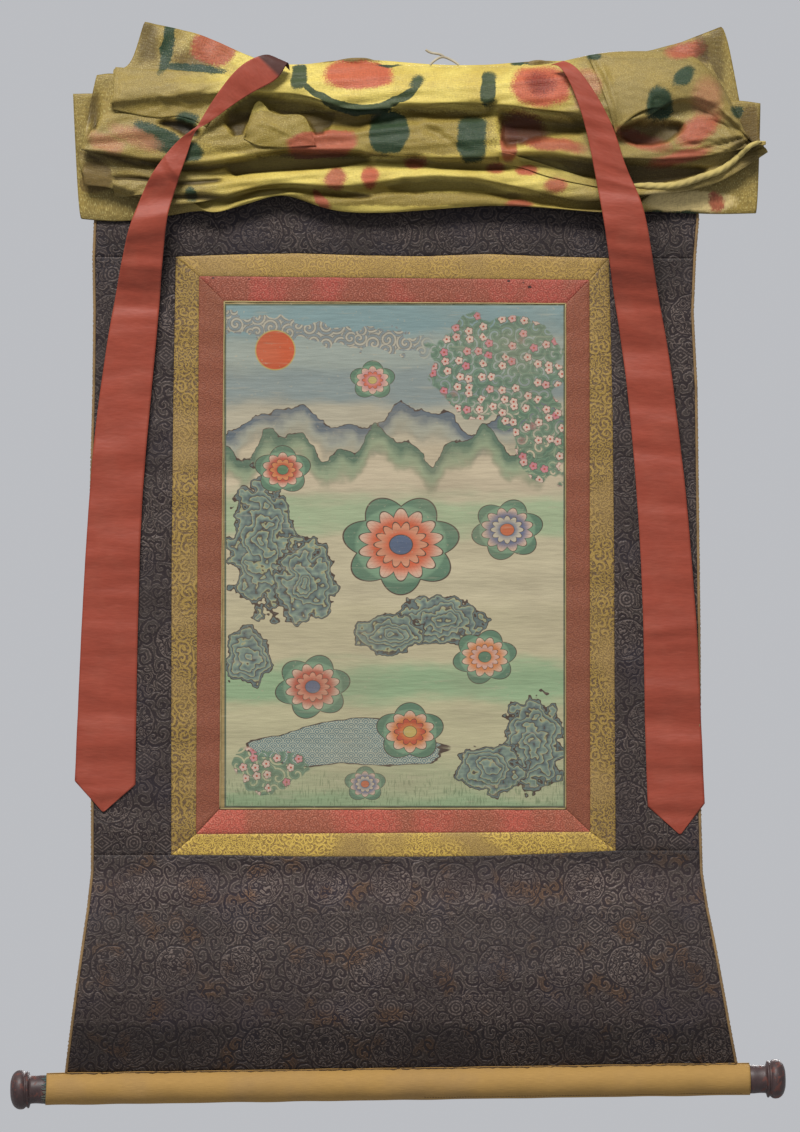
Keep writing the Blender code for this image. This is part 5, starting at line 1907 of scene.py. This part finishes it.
    def crumple(self, points: np.ndarray) -> tuple[np.ndarray, np.ndarray]:
        """Presses hollows, creases and fine wrinkles into the folds that stand free of the cloth behind.

        Args:
            points: Points of the veil's smooth folds.

        Returns:
            The moved points and the painted shade of each in the hollows, from 0 to 1.
        """
        x, y, z = points[:, 0], points[:, 1], points[:, 2]
        free = smooth(np.clip((self.still_depth - y) / (self.still_depth - self.free_depth), 0, 1))
        behind = np.clip((y - self.back_depth) / self.back_fade, 0, 1)
        press = sum((crease.press(x, z) for crease in self.creases), np.zeros_like(x))
        deep, shade, lips = np.zeros_like(x), np.zeros_like(x), np.zeros_like(x)
        for hollow in self.hollows:
            inside, lip = hollow.within(x, z)
            layer = behind if hollow.back else np.sqrt(free)
            # Painted shade inside the hollow, in the layer it lies in
            shade = np.maximum(shade, inside * hollow.shade * layer)
            if not hollow.back:
                deep = np.maximum(deep, inside * hollow.depth * MM)
                lips = np.maximum(lips, lip)
        ends = np.clip((np.abs(x - 20 * MM) - 260 * MM) / (160 * MM), 0, 1)
        middle = (ripple(x, z, 7, 0.2, 0.024) * 1.2 + ripple(x, z, 8, 0.07, 0.013) * 0.55
                  + ripple(x, z, 19, 0.045, 0.1) * 0.6) * MM
        radial_x, radial_z = x - np.sign(x) * self.gather[0], z - self.gather[1]
        angle = np.arctan2(radial_z, radial_x)
        spread = ripple(angle * 0.06, np.hypot(radial_x, radial_z), 9, 0.013, 0.16) * 1.2 * MM
        wrinkle = middle * (1 - ends * 0.45) + spread * ends
        back = (ripple(x, z, 13, 0.05, 0.05) * 1.2 + ripple(x, z, 14, 0.02, 0.06) * 0.5) * MM
        back *= np.clip((z + 10 * MM) / (20 * MM), 0, 1) * behind
        moved = points.copy()
        moved[:, 1] = y + (press + wrinkle + deep - lips * (1 - deep / (20 * MM))) * free + back
        return moved, shade

    def build(self) -> bpy.types.Object:
        """The veil's sheet."""
        steps = [round(fold[4] * self.row_share) for fold in self.folds[:-1]]
        marks = np.concatenate([np.arange(count) / count + index for index, count in enumerate(steps)]
                               + [[len(steps)]])
        share = np.linspace(0, 1, self.columns + 1)
        points = self.surface(share, marks)

        shades = []

        def place(u: np.ndarray, v: np.ndarray) -> np.ndarray:
            """Crumpled points along the veil at u and down its folds at v."""
            column = np.rint(u * self.columns).astype(int)
            row = np.rint(v * (len(marks) - 1)).astype(int)
            moved, shade = self.crumple(points[row, column])
            shades.extend(shade)
            return moved

        made = grid(self.columns, len(marks) - 1, place, self.flat)
        # The hollows' painted shade goes on the 'hollow' attribute, which darkens the silk
        inside = made.verts.layers.float.new("hollow")
        for vertex, shade in zip(made.verts, shades):
            vertex[inside] = shade
        self.silk = VeilSilk().make()
        return thicken(own_piece("veil_cloth", made, self.silk, ["veil"]), self.thickness)

    def dress(self) -> bpy.types.Object:
        """The veil with its flaps and its twisted hem."""
        piece = self.build()
        self.tree = BVHTree.FromObject(piece, bpy.context.evaluated_depsgraph_get())
        extra = [flap.dress(self.tree, self.silk, self.creases) for flap in self.flaps] + [self.hem(self.tree)]
        LOG.info("veil")
        return piece

    def hem(self, tree: BVHTree) -> bpy.types.Object:
        """The twisted hem that runs out to a point at the right end."""
        route = np.array([(312, -162), (338, -163), (364, -163), (388, -158), (410, -150), (432, -142),
                          (452, -128), (470, -112), (484, -106), (493, -104)]) * MM
        line = spline_matrix(len(route), np.linspace(0, len(route) - 1, 120)) @ route
        radii = np.interp(np.linspace(0, 1, 120), [0, .1, .6, .85, 1], [2.0, 5.0, 4.6, 3.0, 0.6]) * MM
        depth = front_depths(tree, line)
        path = np.column_stack([line[:, 0], depth - radii * 0.5, line[:, 1]])
        silk = Thread("hem_silk", (0.56, 0.44, 0.15), (0.38, 0.29, 0.12)).make()
        return own_piece("veil_twisted_hem", tube(path, radii, 20, 3, 24.0), silk)


def front_depths(tree: BVHTree, line: np.ndarray, spread: int = 4) -> np.ndarray:
    """The smoothed depth of the foremost cloth along a line of (x, z) points.

    Args:
        tree: The cloth behind.
        line: The points.
        spread: How many neighbours the depth is averaged over, each way.

    Returns:
        One depth for each point.
    """
    depth = np.array([math.nan if (deep := foremost(tree, x, z)) is None else deep for x, z in line])
    known = ~np.isnan(depth)
    depth = np.interp(np.arange(len(depth)), np.flatnonzero(known), depth[known])
    padded = np.pad(depth, spread, mode="edge")
    lowest = np.array([padded[i:i + 2 * spread + 1].min() for i in range(len(depth))])
    padded = np.pad(lowest, spread, mode="edge")
    return np.array([padded[i:i + 2 * spread + 1].mean() for i in range(len(depth))])


# Ribbons and tie


@dataclass
class Ribbon:
    """A hanging silk ribbon: rows of its two edges in millimetres and how far it stands off."""

    side: Side
    rows: tuple[tuple[float, float, float, float, float], ...]
    tip: tuple[float, float, float, float, float]
    flat: tuple[float, float]
    inner_rows: int = 0
    creases: tuple[tuple[float, float, float], ...] = ()
    columns: int = 22
    steps: int = 16
    tip_steps: int = 22
    thickness: float = 0.7 * MM
    open_air: float = -24 * MM
    probe: float = 5 * MM

    def behind(self, tree: BVHTree, hang: Hang, x: float, z: float) -> float:
        """The depth of the foremost cloth behind a place."""
        deep = foremost(tree, x, z)
        if deep is not None:
            return deep
        below = z < OUTLINE[-1, 0]
        if below and outer_x(z, Side.LEFT) < x < outer_x(z, Side.RIGHT):
            return float(hang.depth(np.array([x]), np.array([z]))[0]) - 1.0 * MM
        return 0.0 if below else self.open_air

    def _course(self, tree: BVHTree, hang: Hang) -> tuple[np.ndarray, np.ndarray]:
        """The ribbon's run in front of what is behind it.

        Args:
            tree: The veil.
            hang: How the flat cloth hangs.

        Returns:
            Close rows of its two edges, as (x, z, x, z), and the depth of each.
        """
        table = np.array(self.rows) * MM
        last = len(table) - 1
        coarse = spline_matrix(last + 1, np.linspace(0, last, last * 2 + 1)) @ table
        tip = np.array(self.tip) * MM
        coarse = np.vstack([coarse, (table[-1] + tip) / 2, tip])
        nearest = []
        for row in coarse:
            probes = [row[0:2] + (row[2:4] - row[0:2]) * part for part in np.linspace(-0.1, 1.1, 9)]
            nearest.append(min(self.behind(tree, hang, x, z + lift)
                               for x, z in probes for lift in (-self.probe, 0, self.probe)))
        count = len(coarse)
        nearest = [min(nearest[max(0, i - 2):i + 3]) for i in range(count)]
        base = np.array([np.mean(nearest[max(0, i - 1):i + 2]) for i in range(count)]) - coarse[:, 4]

        fine = np.linspace(0, last, last * self.steps + 1)
        edges = spline_matrix(last + 1, fine) @ table[:, :4]
        depth = np.interp(fine * 2, np.arange(count), base)
        share = np.linspace(0, 1, self.tip_steps + 1)[1:, None]
        edges = np.vstack([edges, table[-1, :4] + (tip[:4] - table[-1, :4]) * share])
        depth = np.concatenate([depth, np.interp(last * 2 + share[:, 0] * 2, np.arange(count), base)])
        return edges, np.convolve(np.pad(depth, 4, mode="edge"), np.ones(9) / 9, "valid")

    def dress(self, tree: BVHTree, hang: Hang) -> bpy.types.Object:
        """Builds the ribbon in front of what is behind it."""
        edges, depth = self._course(tree, hang)
        middle = (edges[:, 0:2] + edges[:, 2:4]) / 2
        steps = np.diff(np.column_stack([middle, depth]), axis=0)
        run = np.concatenate([[0], np.cumsum(np.linalg.norm(steps, axis=1))])
        total = len(edges) - 1
        width = np.linalg.norm(edges[:, 2:4] - edges[:, 0:2], axis=1)

        def place(u: np.ndarray, v: np.ndarray) -> np.ndarray:
            """Points across the ribbon at u, from its tip at v of 0 up."""
            row = np.rint((1 - v) * total).astype(int)
            left, right = edges[row, 0:2], edges[row, 2:4]
            flat = left + (right - left) * u[:, None]
            bow = np.sin(math.pi * u) * width[row] * 0.018
            seed = 31 + len(self.rows)
            calm = (np.clip((run[row] - 30 * MM) / (40 * MM), 0, 1)
                    * np.clip((run[-1] - run[row]) / (30 * MM), 0.3, 1))
            soft = (ripple(u * 0.06, run[row], seed, 0.5, 0.085) * 1.7
                    + ripple(u * 0.06, run[row], seed + 1, 0.3, 0.03) * 0.45) * calm * MM
            fold = np.zeros_like(u)
            for where, lean, height in self.creases:
                away = (run[row] - where * MM - (u - 0.5) * lean * MM) / MM
                fold += height * MM * np.exp(-np.abs(away) / np.where(away < 0, 7.0, 3.0))
            return np.column_stack([flat[:, 0], depth[row] - bow - soft - fold, flat[:, 1]])

        made = grid(self.columns, total, place, (float(width.max()), float(run[-1])))
        uv = made.loops.layers.uv["UVMap"]
        for face in made.faces:
            for loop in face.loops:
                row = round((1 - loop[uv].uv.y / run[-1]) * total)
                loop[uv].uv.y = run[row]
        # The loop's turned inside gets painted shade up to here
        turned = float(run[self.inner_rows * self.steps])
        silk = RibbonSilk(f"ribbon_silk_{self.side.value}", painted_shade_until=turned).make()
        name = f"ribbon_{self.side.value}"
        piece = thicken(own_piece(f"{name}_silk", made, silk, [name]), self.thickness)
        LOG.info("ribbon %s", self.side.value)
        return piece


LEFT_RIBBON = Ribbon(
    Side.LEFT,
    ((-152, 2, -140, -12, 2), (-166, 8, -143, -2, 8), (-181, 5, -154, -22, 9), (-201, -5, -178, -36, 7),
     (-223, -27, -201, -49, 5), (-245, -58, -226, -66, 5), (-258, -79, -246, -81, 8), (-265, -88, -260, -89, 10),
     (-283, -101, -268, -101, 8), (-301, -120, -276, -124, 5), (-325, -154, -287, -156, 5),
     (-342, -192, -298, -190, 7), (-356, -232, -305, -228, 22), (-368, -286, -312, -292, 14),
     (-382, -360, -318, -362, 9), (-400, -487, -330, -489, 7), (-409, -594, -338, -596, 6),
     (-416, -701, -342, -703, 4), (-422, -821, -345, -824, 1.6), (-428, -956, -347, -961, .9)),
    (-391, -997, -389, -997, 1.2), (0.074, 1.09), inner_rows=2,
    creases=((170, 14, 1.6), (224, 30, 1.8), (236, 30, -1.2), (430, 6, 0.9), (620, -4, 0.8), (860, 3, 0.7),
             (1040, 0, 1.2)))
RIGHT_RIBBON = Ribbon(
    Side.RIGHT,
    ((207, -4, 224, 1, 2), (216, -6, 240, -8, 4), (228, -22, 262, -38, 5), (240, -50, 276, -62, 4),
     (251, -84, 292, -96, 4), (261, -128, 306, -140, 5), (270, -176, 324, -180, 6), (279, -226, 336, -228, 22),
     (290, -299, 349, -302, 16), (303, -380, 365, -384, 10), (314, -473, 377, -477, 8), (322, -567, 388, -570, 7),
     (328, -660, 396, -662, 6), (332, -767, 404, -767, 5), (334, -874, 409, -874, 2), (338, -990, 414, -986, .9)),
    (380, -1027, 382, -1027, 1.2), (0.068, 1.09),
    creases=((160, 6, 1.2), (186, 8, 1.5), (200, 6, -1.0), (345, 4, 1.0), (470, -3, 0.8), (640, 3, 0.8),
             (795, -12, 2.2), (801, -12, -1.8), (1020, 0, 1.2)))


@dataclass
class HangingTie:
    """The twisted tie on the top edge: a loop sewn down at both feet, and its free end."""

    radius: float = 1.7 * MM
    depth: float = -20 * MM
    loop: tuple[tuple[float, float], ...] = (
        (47, 0), (50, 3.5), (57, 8.5), (64, 10.5), (71, 8.5), (80, 4), (85, 0))
    end: tuple[tuple[float, float], ...] = (
        (65, 11.8), (61, 14.2), (56, 15.6), (50, 16.6), (45, 18.4), (41, 21))
    around: int = 14
    strands: int = 3
    twist: float = 150.0

    def _path(self, route: Sequence[tuple[float, float]], foot: float) -> np.ndarray:
        """The centreline of one stretch."""
        table = np.array(route) * MM
        line = spline_matrix(len(table), np.linspace(0, len(table) - 1, 12 * (len(table) - 1) + 1)) @ table
        return np.column_stack([line[:, 0], np.full(len(line), self.depth), foot + line[:, 1]])

    def dress(self) -> None:
        """Builds both stretches, on the CAD veil's top edge."""
        twine = Thread("tie_twine", (0.56, 0.5, 0.37), (0.3, 0.23, 0.15)).make()
        low_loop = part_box("hanging_tie_loop")[0].z + self.radius
        low_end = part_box("hanging_tie_end")[0].z + self.radius
        loop_path = self._path(self.loop, low_loop)
        end_path = self._path(self.end, low_end - self.end[1][1] * MM)
        for name, path, node in (("tie_free_end", end_path, "hanging_tie_end"),
                                 ("tie_loop", loop_path, "hanging_tie_loop")):
            laid = tube(path, np.full(len(path), self.radius), self.around, self.strands, self.twist)
            own_piece(name, laid, twine, [node])


# The roller


@dataclass
class Roller:
    """The wooden rod in its cloth sleeve, with a turned knob at each end."""

    roll: Roll = Roll()
    sleeve_left: float = -466 * MM
    sleeve_right: float = 474 * MM
    neck_inside: float = 10 * MM
    foot_left: float = -438 * MM
    foot_right: float = 457 * MM
    lap: float = 1.02
    stitches: int = 118
    stitch_start: float = 40 * MM
    stitch_step: float = 3.6 * MM
    stitch_angle: float = 143
    stitch_size: tuple[float, float, float] = (1.35 * MM, 0.45 * MM, 0.45 * MM)
    fringe_ends: int = 26
    fringe_start: float = 18
    fringe_step: float = 5.6
    turned_steps: int = 96
    knob: tuple[tuple[float, float], ...] = (
        # radius and distance from the outer end, in millimetres
        (0, 0), (6, 0.15), (12, 0.6), (16, 1.6), (19.5, 3), (22.4, 5.0), (24.5, 7.5), (25.8, 10.0), (26.2, 13),
        (26.1, 15.4), (25.6, 17.5), (24.4, 19.0), (23.4, 20), (23.1, 21), (23.4, 22), (24.4, 22.6), (24.8, 23.4),
        (24.5, 24.4), (23.6, 25), (21.0, 25.7), (19.0, 26.5), (18.5, 29), (18.4, 34), (18.6, 38), (19.0, 42))

    def _turn(self, x: float, angle: float) -> Matrix:
        """The matrix that takes a shape turned about Z to the axis at a distance across."""
        return (Matrix.Translation(Vector((x, 0.0, float(self.roll.axis_z(x)))))
                @ Matrix.Rotation(angle - self.roll.tilt, 4, "Y"))

    def dress(self) -> None:
        """Finishes the CAD rod in lacquer and builds the knobs, the sleeve, its stitches and its fringe."""
        lacquer = Lacquer().make()
        necks = (self.sleeve_left + self.neck_inside, self.sleeve_right - self.neck_inside)
        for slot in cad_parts["roller_rod"].material_slots:
            slot.material = lacquer
        ends = ((Side.LEFT, self.roll.left[0], necks[0], -math.pi / 2),
                (Side.RIGHT, self.roll.right[0], necks[1], math.pi / 2))
        for side, tip, neck, angle in ends:
            profile = [(radius * MM, -down * MM) for radius, down in self.knob]
            profile += [(self.roll.rod_radius, -abs(tip - neck)), (0, -abs(tip - neck))]
            made = bmesh.new()
            points = [made.verts.new((radius, 0, z)) for radius, z in profile]
            edges = [made.edges.new(pair) for pair in zip(points, points[1:])]
            bmesh.ops.spin(made, geom=points + edges, cent=(0, 0, 0), axis=(0, 0, 1), angle=2 * math.pi,
                           steps=self.turned_steps, use_merge=True)
            bmesh.ops.remove_doubles(made, verts=made.verts, dist=1e-6)
            bmesh.ops.recalc_face_normals(made, faces=made.faces)
            bmesh.ops.transform(made, matrix=self._turn(tip, angle), verts=made.verts)
            own_piece(f"knob_{side.value}", made, lacquer, [f"roller_knob_{side.value}"])
        self._sleeve()
        self._stitches()
        self._fringe()
        LOG.info("roller")

    def _round(self, x: np.ndarray, angle: np.ndarray, radius: np.ndarray) -> np.ndarray:
        """Points at an angle round the axis from the top, forward, at distances across."""
        return np.column_stack([x - radius * np.cos(angle) * math.sin(self.roll.tilt),
                                -radius * np.sin(angle), self.roll.axis_z(x) + radius * np.cos(angle)])

    def _sleeve(self) -> None:
        """The tan sleeve: a strip wrapped round the rod, its lap under the lower front."""
        inner = self.roll.rod_radius + self.roll.seam

        def place(u: np.ndarray, v: np.ndarray) -> np.ndarray:
            """Points round the rod at u and along it at v, with a frayed left edge."""
            x = self.sleeve_left + (self.sleeve_right - self.sleeve_left) * v
            x = x + np.where(v < 0.01, 1.5 * MM * np.sin(9 * u), 0)
            angle = 2 * math.pi * (u * self.lap) + math.radians(-4)
            lift = np.clip((u * self.lap - 1.0) / 0.01, 0, 1) * 1.2 * MM
            wrinkle = ripple(x, u * 0.13, 41, 0.09, 0.05) * 0.25 * MM
            return self._round(x, angle, inner + self.roll.sleeve_thickness / 2 + 0.35 * MM + lift + wrinkle)

        made = grid(96, 300, place, (2 * math.pi * inner, self.sleeve_right - self.sleeve_left))
        piece = own_piece("roller_sleeve_cloth", made, SleeveCloth().make(), ["roller_sleeve"])
        thicken(piece, 1.0 * MM)

    def _stitches(self) -> None:
        """Dark stitches along the lower front of the sleeve's right half, and a rough dark thread along its top
        seam, which also stands in for the shade where the brocade's foot meets the sleeve.
        """
        dark = Thread("stitch_thread", (0.11, 0.065, 0.03), (0.06, 0.035, 0.02)).make()
        chance = random.Random(12)
        made = bmesh.new()
        radius = self.roll.sleeve_radius + 0.35 * MM
        for index in range(self.stitches):
            x = self.stitch_start + index * self.stitch_step
            angle = math.radians(self.stitch_angle + chance.uniform(-1.2, 1.2))
            spot = self._round(np.array([x]), np.array([angle]), np.array([radius]))[0]
            turn = Matrix.Translation(Vector(spot)) @ Matrix.Rotation(chance.uniform(-0.15, 0.15), 4, "Y")
            shape = turn @ Matrix.Diagonal((*self.stitch_size, 1.0))
            bmesh.ops.create_icosphere(made, subdivisions=1, radius=1.0, matrix=shape)
        own_piece("sleeve_stitches", made, dark)
        # A seam thread that also serves as painted shade along the brocade's foot
        x = np.linspace(self.foot_left, self.foot_right, 1100)
        angle = math.radians(12) + ripple(x, x * 0, 44, 0.013, 1.0) * math.radians(3.0)
        path = self._round(x, angle, np.full_like(x, radius + 0.3 * MM))
        rough = (1.0 + ripple(x, x * 0, 45, 0.009, 1.0) * 0.42) * 0.75 * MM
        own_piece("foot_seam_and_shade_thread", tube(path, rough.clip(0.25 * MM), 8, 2, 300.0), dark)

    def _fringe(self) -> None:
        """Frayed blue-green warp ends at the sleeve's left end."""
        thread = Thread("fringe_thread", (0.12, 0.23, 0.22), (0.38, 0.3, 0.16)).make()
        chance = random.Random(4)
        made = bmesh.new()
        for index in range(self.fringe_ends):
            angle = math.radians(self.fringe_start + index * self.fringe_step)
            reach = chance.uniform(3.0, 8.5) * MM
            bend = chance.uniform(-0.14, 0.14)
            run = np.linspace(0, 1, 6)
            x = self.sleeve_left + 2 * MM - reach * run
            radius = self.roll.sleeve_radius - 0.4 * MM - 0.6 * MM * run
            path = self._round(x, angle + bend * run ** 2, radius)
            one = tube(path, np.linspace(0.4, 0.16, 6) * MM, 6)
            mesh = bpy.data.meshes.new("fringe_strand")
            one.to_mesh(mesh)
            one.free()
            made.from_mesh(mesh)
            bpy.data.meshes.remove(mesh)
        own_piece("sleeve_fringe", made, thread)


# The studio


@dataclass(frozen=True)
class Studio:
    """The camera, the soft lights and the pale floor."""

    camera_place: tuple[float, float, float] = (0.0067, -6.0, -0.6685)
    frame_width: float = 1.0696
    wall: Colour = (0.5, 0.51, 0.535)
    sensor: float = 36.0
    aim: tuple[float, float, float] = (0.0, 0.0, -0.7)
    floor_radius: float = 0.72
    floor_z: float = -1.52

    def _light(self, name: str, place: Sequence[float], size: tuple[float, float], power: float,
               colour: Colour = (1, 1, 1)) -> None:
        """A soft rectangular light."""
        light = bpy.data.lights.new(name, "AREA")
        light.shape = "RECTANGLE"
        light.size, light.size_y = size
        light.energy = power
        light.color = colour
        lamp = bpy.data.objects.new(name, light)
        lamp.location = place
        lamp.rotation_euler = (Vector(self.aim) - Vector(place)).to_track_quat("-Z", "Y").to_euler()
        bpy.context.scene.collection.objects.link(lamp)

    def camera(self) -> None:
        """The camera at the photograph's viewing angle."""
        data = bpy.data.cameras.new("camera")
        data.sensor_fit = "HORIZONTAL"
        data.sensor_width = self.sensor
        data.lens = self.sensor * -self.camera_place[1] / self.frame_width
        data.clip_end = 60
        camera = bpy.data.objects.new("camera", data)
        camera.location = self.camera_place
        camera.rotation_euler = (math.pi / 2, 0, 0)
        bpy.context.scene.collection.objects.link(camera)
        bpy.context.scene.camera = camera

    def dress(self) -> None:
        """World, lights and floor."""
        scene = bpy.context.scene
        scene.view_settings.view_transform = "Standard"
        world = bpy.data.worlds.new("studio")
        world.use_nodes = True
        sky = world.node_tree.nodes["Background"]
        sky.inputs["Color"].default_value = (*self.wall, 1)
        sky.inputs["Strength"].default_value = 1.0
        scene.world = world
        self._light("key", (-1.2, -5.0, 5.4), (3.0, 2.2), 1060.0, (1.0, 0.985, 0.96))
        self._light("back", (1.2, 4.6, 0.6), (2.4, 1.8), 150.0)
        floor = bmesh.new()
        bmesh.ops.create_circle(floor, cap_ends=True, segments=96, radius=self.floor_radius,
                                matrix=Matrix.Translation((0, 0, self.floor_z)))
        mesh = bpy.data.meshes.new("floor")
        floor.to_mesh(mesh)
        floor.free()
        mix = Recipe("floor_paper")
        x, y, z = mix.split(mix.coordinates())
        mottle = mix.noise(mix.join(x, y, z), 2.0, 2.0)
        tone = mix.tint((0.52, 0.53, 0.55), mottle * 0.04 + 0.98)
        mesh.materials.append(mix.dress(Base_Color=tone, Roughness=0.9))
        piece = bpy.data.objects.new("floor", mesh)
        scene.collection.objects.link(piece)


def main() -> None:
    """Builds and dresses the scroll."""
    logging.basicConfig(level=logging.INFO, format="%(name)s: %(message)s")
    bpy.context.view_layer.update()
    studio = Studio()
    studio.camera()
    hang = Hang()
    veil = Veil()
    veil.dress()
    HangingTie().dress()
    cloth = FlatCloth(hang=hang)
    cloth.painting()
    cloth.borders()
    cloth.brocade()
    LEFT_RIBBON.dress(veil.tree, hang)
    RIGHT_RIBBON.dress(veil.tree, hang)
    Roller().dress()
    studio.dress()


if __name__ == "__main__":
    main()
